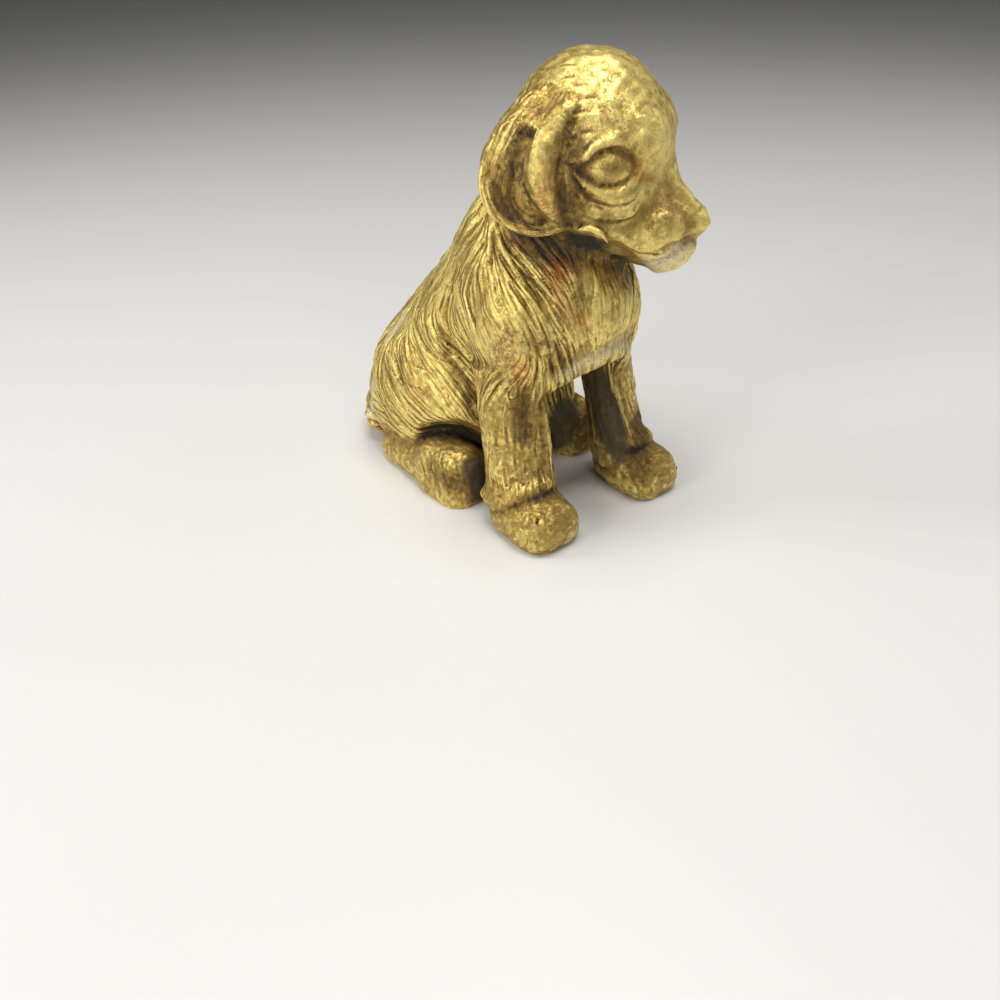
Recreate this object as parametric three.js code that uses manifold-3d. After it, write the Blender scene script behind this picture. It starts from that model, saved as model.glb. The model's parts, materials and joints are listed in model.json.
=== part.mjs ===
// Seated puppy figurine in cast brass: a hollow body in two halves, a hollow head, and solid
// ears, legs, hind feet and tail, all brazed together.
// Millimetres, +Z up. The dog faces -Y and its own left side is +X.

import * as THREE from 'three';
import Module from 'manifold-3d';

const wasm = await Module();
wasm.setup();

// Castings and the seams between them
const WALL = 3;
const SEAM = 0.3;
const SOCKET_GAP = 0.5;

// Trunk: a tapering mass from the rump up to the withers. Places are [across, back, up]
const RUMP = { at: [0, 33, 33], radius: 34 };
const WITHERS = { at: [0, -9, 86], radius: 25.5 };
const NECK_BASE = { at: [0, -8, 88], radius: 24.5 };
const NECK_TOP = { at: [1, -18, 108], radius: 21 };
const CHEST = { at: [0, -27, 75], half: [21, 19, 20] };
const SEAT = { at: [-1, 43, 17], half: [34, 31, 24] };
const SHOULDER = { at: [20, -20, 68], half: [12, 16, 22], tilt: -8 };
const RIGHT_HAUNCH = { at: [-21, 24, 27], half: [17, 33, 26], tilt: 10 };
const LEFT_HAUNCH = { at: [20, 26, 21], half: [16.5, 33, 22], tilt: 6 };
const UNDER_CHEST = { at: [0, -24, 30], half: [15, 19, 31] };
const UNDER_RIGHT_HAUNCH = { at: [-37, -8, 8], half: [19, 27, 25] };
const UNDER_LEFT_HAUNCH = { at: [36, -8, 6], half: [17, 24, 22] };
const CHEST_EDGE = { path: [[0, -41, 62], [8, -39, 60], [15, -35, 56], [20, -31, 52]], radius: 4 };
const CHEST_VALLEY = { path: [[-12, -42, 96], [-9, -43, 86], [-10, -45, 77], [-10, -45, 69]], radius: 2.6 };

// Forelegs, with their paws. Outward places are measured from the leg's axis
const LEG_SPREAD = 48.4;
const LEG_WIDTH = 20;
const LEG_DEPTH = 23.2;
const LEG_TURN = -38;
const ELBOW_BACK = -10.5;
const ELBOW_HEIGHT = 37.5;
const LEG_FRONT_HEIGHT = 54;
const LEG_FRONT_BACK = -42;
const LEG_TOP = { outward: -2.2, back: -18.5, up: 58 };
const WRIST = { back: -28.5, up: 14 };
const CUFF_FLARE = 0.12;
const CUFF_SHARE = 0.4;
const PARTING_RIDGE_PATH = [[-8.7, -29, 50], [-7.7, -33, 40], [-6.2, -36.5, 29], [-3.7, -39, 20]];
const PARTING_RIDGE_RADIUS = 1.2;
const PAW = { outward: 1.2, back: -38.6, up: 6.8, half: [12.6, 12.8, 11.2] };
const PAW_HEEL = { outward: 1.2, back: -29.8, up: 5.9, half: [11.5, 11.5, 7.9] };
const INNER_TOE = { outward: -3.6, back: -45.4, up: 5.8, half: [6.6, 6.4, 8] };
const OUTER_TOE = { outward: 5.4, back: -45.2, up: 5.8, half: [6.6, 6.6, 8] };

// Hind feet, flat on the ground beside the haunches
const RIGHT_FOOT_OUT = 9.5;
const LEFT_FOOT_OUT = 5;
const HEEL = { back: 37, up: 5, radius: 8.5 };
const INSTEP = { back: 10, up: 8, radius: 10.5 };
const HIND_TOES = { back: 3, up: 8, half: [10.2, 14, 14], rounding: 9 };

// Tail, curled round the right of the rump
const TAIL_PATH = [[-2, 67, 14], [-17, 65, 12], [-28, 56.5, 9]];
const TAIL_RADII = [6.5, 7.5, 7.5];
const TAIL_SINK = 2;

// Head, turned to its left. Places in it are [across, back, up] from the head's middle
const HEAD_MIDDLE = [3, -25, 116];
const HEAD_TURN = 34;
const SKULL = { at: [0, -3, 7.8], half: [25.5, 25.5, 28] };
const BROW = { at: [9, -18.6, 14], half: [10, 9, 9] };
const NAPE_SIDE = { at: [14, 12, 4], half: [9, 10, 13] };
const CHEEK = { at: [14, -8, -8], half: [12, 17, 15] };
const MUZZLE_ROOT = { at: [0, -20, -10], radius: 14 };
const NOSE = { at: [0, -35.5, -13.8], radius: 4 };
const STOP = { at: [0, -18, 1], radius: 8.5 };
const NOSE_TOP = { at: [0, -38, -11.6], radius: 3 };
const LIP = { at: [8.5, -22, -12], half: [9, 13, 10.5] };
const JAW = { at: [0, -22.5, -19.5], half: [10.5, 15.5, 9.5] };
const MUZZLE_SOFT = 7;
const MOUTH_PATH = [[25, -10, -10], [24, -14, -13.6], [21, -18.2, -17.9], [17, -23, -20.6],
  [15.5, -28, -18.6], [13, -32.6, -16.4], [8, -37, -16.4], [2.5, -40, -17.6]];
const MOUTH_RADIUS = 1.6;
const CHEEK_FOLD_PATH = [[26, -9.5, -1.5], [25.5, -13.5, -4.3], [25, -16.8, -7.2], [22.5, -20.8, -8.6],
  [20.5, -23.2, -8], [18, -25.8, -4.8], [14, -28, -2.4]];
const CHEEK_FOLD_RADIUS = 1.3;
const MOUTH_CORNER = { at: [26.2, -9.6, -11], half: [3, 3.4, 2.4] };
const THROAT_GROOVE = { path: [[25, 11, -13], [23.5, 3, -15], [21.5, -7, -16.5], [17.5, -15.5, -20],
  [11, -20, -25.5], [4, -21, -29]], radii: [1.5, 3.6, 4.2, 4, 3.6, 3.2] };

// Nose: filed planes through its tip
const NOSE_TIP = [0, -43.2, -12.8];
const NOSE_TOP_SLOPE = 38;
const NOSE_SIDE_TURN = 42;
const NOSE_UNDER_SLOPE = 12;
const NOSE_ROOT = { at: [0, -32, -11], half: [9.5, 11.5, 8.5] };
const NOSE_EDGE = 2;

// Eyes: a ball in a socket under a heavy upper lid. Lid places are [outward, back, up] from the eye
const EYE_AT = [21.9, -14.2, 8];
const EYE_FACING = [0.85, -0.52, 0.05];
const SOCKET_HALF = [4.2, 8.8, 6];
const EYEBALL_HALF = [6.6, 8.4, 6.6];
const EYEBALL_SINK = 5;
const UPPER_LID_PATH = [[-1, -9.4, -1], [0.3, -6.2, 3.6], [0.8, -0.5, 6], [0.4, 5, 4], [-0.8, 9.4, 0.4]];
const UPPER_LID_RADIUS = 1.5;
const LOWER_LID_PATH = [[-1, -9.2, -1.4], [0, -5, -5], [0.2, 1, -6], [-0.2, 6.4, -3.6], [-1, 10, 0]];
const LOWER_LID_RADIUS = 1.4;

// Ears: a hanging leaf with a rolled front edge and a thin lower rim. Places are measured across
// from the widest part of the skull
const EAR_LEAF = { at: [-4.7, 11.5, 3.5], half: [4.6, 12, 16], tilt: -12 };
const EAR_ROOT = { at: [-9, 6, 16], half: [5.4, 11, 11], tilt: 25 };
const EAR_ROLL_PATH = [[-7.5, -3.5, 24], [-5, -0.5, 21.5], [-3.1, 2.5, 17.5], [-1.7, 4.5, 13], [-0.8, 5.4, 8.5],
  [-0.5, 5, 4], [-0.6, 3.6, 0], [-0.7, 1.6, -4], [-1.1, -0.6, -8]];
const EAR_ROLL_RADII = [1.5, 3, 4, 4.6, 4.7, 4.5, 4, 3.2, 2];
const EAR_RIM_PATH = [[-1.3, -0.5, -8], [-0.7, 4, -10.6], [-0.5, 9, -11], [-0.2, 15.2, -9.2],
  [-0.5, 20, -5.6], [-1.7, 22.4, -1], [-3.5, 22.9, 4], [-5.7, 21.6, 9.5], [-8.5, 18.5, 15]];
const EAR_RIM_RADIUS = 1.9;
const EAR_VALLEY_PATH = [[-0.5, 9.5, 16], [2.1, 12.2, 11.5], [3.3, 13.4, 6.5], [3.5, 12.8, 1], [2.9, 9.6, -4]];
const EAR_VALLEY_RADII = [0.8, 2, 2.8, 2.8, 1.8];

// Seam of the neck: a slanting plane from the throat up to the nape
const NECK_SEAM_AT = [0, -18, 100];
const NECK_SEAM_SLANT = 30;

// How softly the masses run into each other
const SOFT = 10;
const FIRM = 4;
const CRISP = 1.5;

// Facet sizes
const BODY_STEP = 7;
const BODY_ACROSS_STEP = 6.3;
const CHEST_STEP = 4.6;
const CAVITY_STEP = 10;
const LEG_STEP = 4.4;
const FOOT_STEP = 4.8;
const TAIL_STEP = 3.9;
const HEAD_STEP = 6.4;
const HEAD_ACROSS_STEP = 4.2;
const FACE_STEP = 3.5;
const EAR_STEP = 3.5;
const GRID_ROOM = SOFT / 2;
const BEAD_SIDES = 6;
const BEAD_STEPS_PER_SPAN = 1.3;
const BALL_SEGMENTS = 14;
const BALL_RINGS = 8;

const BRASS = { color: 0x9a7a35, roughness: 0.42, metalness: 1 };
const WORN_BRASS = { color: 0xb9943f, roughness: 0.34, metalness: 1 };
const DARK_BRASS = { color: 0x5b4c2c, roughness: 0.55, metalness: 1 };

// Distance fields: each is a function of a point, negative inside the form

const vector = (place) => new THREE.Vector3(...place);

function ellipsoid({ at, half, tilt = 0, turn = 0 }) {
  const centre = vector(at);
  const [a, b, c] = half;
  const euler = new THREE.Euler(THREE.MathUtils.degToRad(tilt), 0, THREE.MathUtils.degToRad(turn));
  const back = new THREE.Quaternion().setFromEuler(euler).invert();
  const q = new THREE.Vector3();
  return (p) => {
    q.copy(p).sub(centre).applyQuaternion(back);
    const reach = Math.hypot(q.x / a, q.y / b, q.z / c);
    const slope = Math.hypot(q.x / (a * a), q.y / (b * b), q.z / (c * c));
    return slope > 0 ? reach * (reach - 1) / slope : -Math.min(a, b, c);
  };
}

// A box with rounded edges
function block({ at, half, rounding }) {
  const centre = vector(at);
  const core = vector(half).subScalar(rounding);
  const zero = new THREE.Vector3();
  const q = new THREE.Vector3();
  return (p) => {
    q.copy(p).sub(centre);
    q.set(Math.abs(q.x), Math.abs(q.y), Math.abs(q.z)).sub(core);
    const deep = Math.min(Math.max(q.x, q.y, q.z), 0);
    return q.max(zero).length() + deep - rounding;
  };
}

// A cord of changing radius along a smooth path
function cord(path, radii) {
  const steps = 4 * (path.length - 1);
  const line = new THREE.CatmullRomCurve3(path.map(vector)).getPoints(steps);
  const radiusAt = (share) => {
    if (typeof radii === 'number') return radii;
    const place = share * (radii.length - 1);
    const index = Math.min(Math.floor(place), radii.length - 2);
    return THREE.MathUtils.lerp(radii[index], radii[index + 1], place - index);
  };
  const closest = new THREE.Vector3();
  const stretches = line.slice(1).map((end, i) => ({ line: new THREE.Line3(line[i], end), at: i }));
  return (p) => {
    let least = Infinity;
    for (const { line: stretch, at } of stretches) {
      const share = stretch.closestPointToPointParameter(p, true);
      stretch.at(share, closest);
      least = Math.min(least, closest.distanceTo(p) - radiusAt((at + share) / steps));
    }
    return least;
  };
}

// A tapering limb between two balls
function limb(from, to) {
  const start = vector(from.at);
  const run = vector(to.at).sub(start);
  const length = run.length();
  const taper = from.radius - to.radius;
  const slant = Math.sqrt(length * length - taper * taper);
  const axis = run.clone().normalize();
  const q = new THREE.Vector3();
  return (p) => {
    q.copy(p).sub(start);
    const along = q.dot(axis);
    const off = Math.sqrt(Math.max(q.lengthSq() - along * along, 0));
    const foot = THREE.MathUtils.clamp((along + off * taper / slant) / length, 0, 1);
    return Math.hypot(off, along - foot * length) - (from.radius - foot * taper);
  };
}

function smoothLess(a, b, softness) {
  const near = Math.max(softness - Math.abs(a - b), 0) / softness;
  return Math.min(a, b) - near * near * softness / 4;
}

const blend = (a, b, softness) => (p) => smoothLess(a(p), b(p), softness);
const carve = (a, b, softness) => (p) => -smoothLess(-a(p), b(p), softness);
const shared = (a, b, softness) => (p) => -smoothLess(-a(p), -b(p), softness);
const without = (a, b) => (p) => Math.max(a(p), -b(p));
const grown = (a, by) => (p) => a(p) - by;

function mirrored(field) {
  const q = new THREE.Vector3();
  return (p) => field(q.set(Math.abs(p.x), p.y, p.z));
}

function oneSide(field, side) {
  const q = new THREE.Vector3();
  return (p) => field(q.set(side * p.x, p.y, p.z));
}

function moved(field, matrix) {
  const back = matrix.clone().invert();
  const q = new THREE.Vector3();
  return (p) => field(q.copy(p).applyMatrix4(back));
}

// Trunk with neck, chest and haunches
function trunkForm() {
  let form = limb(RUMP, WITHERS);
  form = blend(form, ellipsoid(CHEST), SOFT);
  form = blend(form, ellipsoid(SEAT), SOFT);
  form = blend(form, ellipsoid(RIGHT_HAUNCH), SOFT);
  form = blend(form, ellipsoid(LEFT_HAUNCH), SOFT);
  form = blend(form, mirrored(ellipsoid(SHOULDER)), SOFT);
  form = blend(form, limb(NECK_BASE, NECK_TOP), SOFT);
  form = carve(form, ellipsoid(UNDER_CHEST), FIRM);
  form = carve(form, ellipsoid(UNDER_RIGHT_HAUNCH), FIRM);
  form = carve(form, ellipsoid(UNDER_LEFT_HAUNCH), FIRM);
  form = carve(form, cord(CHEST_VALLEY.path, CHEST_VALLEY.radius), FIRM);
  return blend(form, mirrored(cord(CHEST_EDGE.path, CHEST_EDGE.radius)), FIRM);
}

const legAxis = LEG_SPREAD / 2;
const besideLeg = ({ outward, back, up, half }) => ({ at: [legAxis + outward, back, up], half });
const pathBesideLeg = (path, side) => path.map(([outward, back, up]) => [side * (legAxis + outward), back, up]);

// Foreleg of the left side: an oval column on a paw with two toes
function forelegForm() {
  const top = vector([legAxis + LEG_TOP.outward, LEG_TOP.back, LEG_TOP.up]);
  const wrist = vector([legAxis, WRIST.back, WRIST.up]);
  const turnBack = new THREE.Quaternion();
  turnBack.setFromAxisAngle(new THREE.Vector3(0, 0, 1), -THREE.MathUtils.degToRad(LEG_TURN));
  const q = new THREE.Vector3();
  const column = (p) => {
    const share = (p.z - wrist.z) / (top.z - wrist.z);
    q.lerpVectors(wrist, top, share).sub(p).applyQuaternion(turnBack);
    const flare = 1 + CUFF_FLARE * THREE.MathUtils.clamp(1 - share / CUFF_SHARE, 0, 1);
    const reach = Math.hypot(q.x / (LEG_WIDTH / 2), q.y / (LEG_DEPTH / 2)) / flare;
    const round = (reach - 1) * (LEG_WIDTH + LEG_DEPTH) / 4;
    return Math.max(round, p.z - top.z, wrist.z - SOFT / 2 - p.z);
  };
  let paw = blend(ellipsoid(besideLeg(PAW)), ellipsoid(besideLeg(PAW_HEEL)), FIRM);
  paw = blend(paw, ellipsoid(besideLeg(INNER_TOE)), FIRM);
  paw = blend(paw, ellipsoid(besideLeg(OUTER_TOE)), FIRM);
  return blend(column, paw, CRISP);
}

const footAcross = (side) => (side > 0
  ? LEFT_HAUNCH.at[0] + LEFT_FOOT_OUT
  : RIGHT_HAUNCH.at[0] - RIGHT_FOOT_OUT);

function hindFootMasses(side) {
  const across = footAcross(side);
  return {
    heel: { at: [across, HEEL.back, HEEL.up], radius: HEEL.radius },
    instep: { at: [across, INSTEP.back, INSTEP.up], radius: INSTEP.radius },
    toes: { ...HIND_TOES, at: [across, HIND_TOES.back, HIND_TOES.up] },
  };
}

function hindFootForm(side) {
  const { heel, instep, toes } = hindFootMasses(side);
  return blend(limb(heel, instep), block(toes), FIRM);
}

// The nose's wedge
function noseForm() {
  const tip = vector(NOSE_TIP);
  const [top, turn, under] = [NOSE_TOP_SLOPE, NOSE_SIDE_TURN, NOSE_UNDER_SLOPE].map(THREE.MathUtils.degToRad);
  const plane = (facing) => (p) => facing.dot(p) - facing.dot(tip);
  const above = plane(new THREE.Vector3(0, -Math.sin(top), Math.cos(top)));
  const beside = plane(new THREE.Vector3(Math.cos(turn), -Math.sin(turn), 0));
  const below = plane(new THREE.Vector3(0, -Math.sin(under), -Math.cos(under)));
  const wedge = shared(shared(above, beside, NOSE_EDGE), below, NOSE_EDGE);
  return mirrored(shared(wedge, ellipsoid(NOSE_ROOT), NOSE_EDGE));
}

// Head in its own frame, before it is turned and set on the neck
function headForm() {
  let form = ellipsoid(SKULL);
  form = blend(form, mirrored(ellipsoid(BROW)), FIRM);
  form = blend(form, mirrored(ellipsoid(CHEEK)), FIRM);
  form = blend(form, mirrored(ellipsoid(NAPE_SIDE)), FIRM);
  let muzzle = blend(limb(MUZZLE_ROOT, NOSE), limb(STOP, NOSE_TOP), FIRM);
  muzzle = blend(muzzle, mirrored(ellipsoid(LIP)), FIRM);
  muzzle = blend(muzzle, noseForm(), NOSE_EDGE);
  form = blend(form, muzzle, MUZZLE_SOFT);
  return blend(form, ellipsoid(JAW), CRISP);
}

function earForm() {
  let form = blend(ellipsoid(EAR_LEAF), ellipsoid(EAR_ROOT), SOFT);
  form = blend(form, cord(EAR_ROLL_PATH, EAR_ROLL_RADII), FIRM);
  form = blend(form, cord(EAR_RIM_PATH, EAR_RIM_RADIUS), FIRM);
  form = carve(form, cord(EAR_VALLEY_PATH, EAR_VALLEY_RADII), FIRM);
  return moved(form, new THREE.Matrix4().makeTranslation(SKULL.half[0], 0, 0));
}

// Facets a field: one vertex in each cell that the surface crosses, one quad round each crossed edge

// The box round masses and paths
function boxOf(...forms) {
  const box = new THREE.Box3();
  for (const { at, path = [at], radius = 0, half = [radius, radius, radius] } of forms) {
    for (const place of path) {
      const [x, y, z] = place;
      box.expandByPoint(vector(place).add(vector(half)));
      box.expandByPoint(new THREE.Vector3(x - half[0], y - half[1], z - half[2]));
    }
  }
  return box;
}

const onBothSides = (box) => box.clone().expandByPoint(new THREE.Vector3(-box.max.x, box.min.y, box.min.z));

// Grid lines over a box with room round it: narrow ones where the close box lies, wide ones elsewhere
function gridOver(box, { step, across = step, close = box, closeStep = step }) {
  return ['x', 'y', 'z'].map((axis) => {
    const lines = [box.min[axis] - GRID_ROOM];
    while (lines.at(-1) < box.max[axis] + GRID_ROOM) {
      const isClose = lines.at(-1) >= close.min[axis] - closeStep && lines.at(-1) < close.max[axis];
      const lengthwise = isClose ? closeStep : step;
      lines.push(lines.at(-1) + (axis === 'x' ? across : lengthwise));
    }
    return lines;
  });
}

// The same grid on the dog's left, or its mirror image on the right
function gridOnSide([across, along, up], side) {
  return [across.map((value) => value * side).sort((a, b) => a - b), along, up];
}

function facet(field, grid) {
  const size = grid.map((axis) => axis.length);
  const slot = (i, j, k) => (i * size[1] + j) * size[2] + k;
  const p = new THREE.Vector3();
  const value = new Float64Array(size[0] * size[1] * size[2]);
  const place = (i, j, k) => new THREE.Vector3(grid[0][i], grid[1][j], grid[2][k]);
  const each = (limit, visit) => {
    for (let i = 0; i < size[0] - limit; i++) {
      for (let j = 0; j < size[1] - limit; j++) {
        for (let k = 0; k < size[2] - limit; k++) visit(i, j, k);
      }
    }
  };
  each(0, (i, j, k) => {
    value[slot(i, j, k)] = field(p.set(grid[0][i], grid[1][j], grid[2][k]));
  });
  const unit = [[1, 0, 0], [0, 1, 0], [0, 0, 1]];
  unpinch(value, each, slot, unit);
  const corners = [0, 1, 2, 3, 4, 5, 6, 7].map((n) => [n & 1, (n >> 1) & 1, (n >> 2) & 1]);
  const vertexOf = new Int32Array(value.length).fill(-1);
  const points = [];
  each(1, (i, j, k) => {
    const sum = new THREE.Vector3();
    let crossings = 0;
    for (const [a, b, c] of corners) {
      const from = value[slot(i + a, j + b, k + c)];
      for (const [u, v, w] of unit) {
        if ((a && u) || (b && v) || (c && w)) continue;
        const to = value[slot(i + a + u, j + b + v, k + c + w)];
        if ((from < 0) === (to < 0)) continue;
        const start = place(i + a, j + b, k + c);
        sum.add(start.lerp(place(i + a + u, j + b + v, k + c + w), from / (from - to)));
        crossings++;
      }
    }
    if (crossings === 0) return;
    vertexOf[slot(i, j, k)] = points.length;
    points.push(settle(field, sum.divideScalar(crossings)));
  });
  const triangles = [];
  each(1, (i, j, k) => {
    unit.forEach(([u, v, w], axis) => {
      const here = value[slot(i, j, k)] < 0;
      if (here === value[slot(i + u, j + v, k + w)] < 0) return;
      const e = unit[(axis + 1) % 3];
      const f = unit[(axis + 2) % 3];
      const ring = [[1, 1], [0, 1], [0, 0], [1, 0]].map(([m, n]) =>
        vertexOf[slot(i - m * e[0] - n * f[0], j - m * e[1] - n * f[1], k - m * e[2] - n * f[2])]);
      if (!here) ring.reverse();
      const [a, b, c, d] = ring;
      const splitAC = points[a].distanceTo(points[c]) < points[b].distanceTo(points[d]);
      triangles.push(...(splitAC ? [a, b, c, a, c, d] : [a, b, d, b, c, d]));
    });
  });
  return solidOf(points, triangles);
}

// Where the nodes round a cell's side lie inside and outside by turns, the surface would pinch
// to an edge with four faces. Of the two outside, the one nearer to the surface is filled.
function unpinch(value, each, slot, unit) {
  const barely = 1e-3;
  let pinched = true;
  while (pinched) {
    pinched = false;
    each(1, (i, j, k) => {
      unit.forEach((e, axis) => {
        const f = unit[(axis + 1) % 3];
        const ring = [[0, 0], [1, 0], [1, 1], [0, 1]].map(([m, n]) =>
          slot(i + m * e[0] + n * f[0], j + m * e[1] + n * f[1], k + m * e[2] + n * f[2]));
        const [a, b, c, d] = ring.map((node) => value[node] < 0);
        if (a !== c || b !== d || a === b) return;
        const [first, second] = ring.filter((node) => value[node] >= 0);
        value[value[first] < value[second] ? first : second] = -barely;
        pinched = true;
      });
    });
  }
}

// Lays the points of a path on the surface of a field
function laid(path, field) {
  return path.map((place) => {
    const point = vector(place);
    for (let pass = 0; pass < 12; pass++) settle(field, point);
    return point.toArray();
  });
}

// A round bead along a path, for lids, folds and ridges
function bead(path, radius) {
  const circle = new THREE.EllipseCurve(0, 0, radius, radius).getPoints(BEAD_SIDES);
  const section = new THREE.Shape(circle.slice(0, BEAD_SIDES));
  const extrudePath = new THREE.CatmullRomCurve3(path.map(vector));
  const steps = Math.ceil(BEAD_STEPS_PER_SPAN * (path.length - 1));
  return solidFrom(new THREE.ExtrudeGeometry(section, { extrudePath, steps, bevelEnabled: false }));
}

function ball(half, matrix) {
  return solidFrom(new THREE.SphereGeometry(1, BALL_SEGMENTS, BALL_RINGS), matrix.clone().scale(vector(half)));
}

// Moves a point along the field's slope until it lies on the surface
function settle(field, point) {
  const probe = 0.05;
  for (let pass = 0; pass < 2; pass++) {
    const slope = new THREE.Vector3();
    for (const axis of ['x', 'y', 'z']) {
      const ahead = point.clone();
      const behind = point.clone();
      ahead[axis] += probe;
      behind[axis] -= probe;
      slope[axis] = (field(ahead) - field(behind)) / (2 * probe);
    }
    const steepness = Math.max(slope.lengthSq(), 0.25);
    const step = THREE.MathUtils.clamp(field(point) / steepness, -FACE_STEP / 2, FACE_STEP / 2);
    point.addScaledVector(slope, -step);
  }
  return point;
}

function solidOf(points, triangles) {
  const mesh = new wasm.Mesh({
    numProp: 3,
    vertProperties: new Float32Array(points.flatMap((point) => point.toArray())),
    triVerts: new Uint32Array(triangles),
  });
  return new wasm.Manifold(mesh);
}

// A three.js geometry as a solid, for the cutting blocks
function solidFrom(geometry, matrix = new THREE.Matrix4()) {
  const source = (geometry.index ? geometry.toNonIndexed() : geometry).attributes.position;
  const found = new Map();
  const points = [];
  const triangles = [];
  for (let n = 0; n < source.count; n++) {
    const point = new THREE.Vector3().fromBufferAttribute(source, n).applyMatrix4(matrix);
    const key = point.toArray().map((value) => value.toFixed(4)).join();
    if (!found.has(key)) {
      found.set(key, points.length);
      points.push(point);
    }
    triangles.push(found.get(key));
  }
  return solidOf(points, triangles);
}

function geometryOf(solid) {
  const { vertProperties, triVerts, numProp } = solid.getMesh();
  const geometry = new THREE.BufferGeometry();
  const position = [];
  for (let n = 0; n < vertProperties.length; n += numProp) position.push(...vertProperties.slice(n, n + 3));
  geometry.setAttribute('position', new THREE.Float32BufferAttribute(position, 3));
  geometry.setIndex([...triVerts]);
  geometry.computeVertexNormals();
  return geometry;
}

// The whole casting, and the hollow inside it
const headPlace = new THREE.Matrix4()
  .makeRotationZ(THREE.MathUtils.degToRad(HEAD_TURN))
  .setPosition(...HEAD_MIDDLE);
const intoHead = headPlace.clone().invert();
const trunk = trunkForm();
const head = moved(headForm(), headPlace);
const ear = earForm();
const throatGroove = moved(mirrored(cord(THROAT_GROOVE.path, THROAT_GROOVE.radii)), headPlace);
const withHead = (form) => carve(blend(form, head, FIRM), throatGroove, FIRM);
const body = withHead(trunk);
const foreleg = mirrored(forelegForm());
const casting = withHead(blend(trunk, foreleg, FIRM));
const castingFromHead = moved(casting, intoHead);
const tailPath = laid(TAIL_PATH, grown(trunk, -TAIL_SINK));
const tail = cord(tailPath, TAIL_RADII);

// Room that the castings take
const trunkBox = onBothSides(boxOf(RUMP, WITHERS, SEAT, LEFT_HAUNCH, RIGHT_HAUNCH, SHOULDER, CHEST, NECK_TOP));
const chestBox = boxOf(CHEST, SHOULDER);
const neckBox = boxOf(CHEST, NECK_BASE, NECK_TOP);
const faceBox = boxOf(JAW, BROW, { at: NOSE_TIP }, MUZZLE_ROOT);
const skullBox = onBothSides(boxOf(SKULL, CHEEK)).union(faceBox);
const wholeBox = trunkBox.clone().union(skullBox.clone().applyMatrix4(headPlace));

// Cutting blocks
const REACH = 400;
const neckSlant = THREE.MathUtils.degToRad(NECK_SEAM_SLANT);
const neckUp = new THREE.Vector3(0, -Math.sin(neckSlant), Math.cos(neckSlant));

function blockAbove(point, facing) {
  const turn = new THREE.Quaternion().setFromUnitVectors(new THREE.Vector3(0, 0, 1), facing);
  const middle = facing.clone().multiplyScalar(REACH / 2).add(point);
  const matrix = new THREE.Matrix4().compose(middle, turn, new THREE.Vector3(1, 1, 1));
  return solidFrom(new THREE.BoxGeometry(REACH, REACH, REACH), matrix);
}

const neckAt = vector(NECK_SEAM_AT);
const neckSeamLow = neckAt.z + (chestBox.min.y - neckAt.y) * Math.tan(neckSlant);
const neckAbove = (p) => neckUp.dot(p) - neckUp.dot(neckAt);
const aboveNeck = (gap) => blockAbove(neckAt.clone().addScaledVector(neckUp, gap), neckUp);
const aboveGround = blockAbove(new THREE.Vector3(0, 0, 0), new THREE.Vector3(0, 0, 1));
const sideBlock = (side) => blockAbove(
  new THREE.Vector3(side * SEAM / 2, 0, 0), new THREE.Vector3(side, 0, 0));

// Slanting seam across the top of a foreleg, and the prism that holds the leg below it
const slope = (LEG_FRONT_HEIGHT - ELBOW_HEIGHT) / (LEG_FRONT_BACK - ELBOW_BACK);
const aboveLegSeam = (p) => p.z - ELBOW_HEIGHT - slope * (p.y - ELBOW_BACK);

function legBlock(side, gap) {
  const front = -REACH / 4;
  const profile = new THREE.Shape([
    new THREE.Vector2(ELBOW_BACK - gap, -REACH / 4),
    new THREE.Vector2(ELBOW_BACK - gap, ELBOW_HEIGHT - gap),
    new THREE.Vector2(front, ELBOW_HEIGHT - gap + slope * (front - ELBOW_BACK)),
    new THREE.Vector2(front, -REACH / 4),
  ]);
  const inner = legAxis - LEG_WIDTH;
  const geometry = new THREE.ExtrudeGeometry(profile, { depth: REACH / 4, bevelEnabled: false });
  const matrix = new THREE.Matrix4().makeBasis(
    new THREE.Vector3(0, 1, 0), new THREE.Vector3(0, 0, 1), new THREE.Vector3(1, 0, 0));
  matrix.setPosition(side > 0 ? inner : -inner - REACH / 4, 0, 0);
  return solidFrom(geometry, matrix);
}

// The hollow keeps its wall over the ground and round every socket
function hollowSolid() {
  const ears = moved(mirrored(ear), headPlace);
  const letIn = (p) => Math.min(hindFootForm(1)(p), hindFootForm(-1)(p), tail(p), ears(p));
  const inside = without(grown(body, -WALL), grown(letIn, SOCKET_GAP + WALL));
  const field = (p) => Math.max(inside(p), WALL - p.z);
  return facet(field, gridOver(wholeBox, { step: CAVITY_STEP }));
}

function earSolid(side, extra) {
  const field = grown(oneSide(ear, side), extra);
  const roll = { path: EAR_ROLL_PATH, radius: Math.max(...EAR_ROLL_RADII) };
  const box = boxOf(EAR_LEAF, EAR_ROOT, roll, { path: EAR_RIM_PATH, radius: EAR_RIM_RADIUS });
  box.translate(new THREE.Vector3(SKULL.half[0], 0, 0));
  return facet(field, gridOnSide(gridOver(box, { step: EAR_STEP }), side));
}

function footSolid(side, extra) {
  const { heel, instep, toes } = hindFootMasses(side);
  const field = grown(hindFootForm(side), extra);
  return facet(field, gridOver(boxOf(heel, instep, toes), { step: FOOT_STEP }));
}

function tailSolid(extra) {
  const field = grown(tail, extra);
  const box = boxOf({ path: tailPath, radius: Math.max(...TAIL_RADII) });
  return facet(field, gridOver(box, { step: TAIL_STEP }));
}

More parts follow.
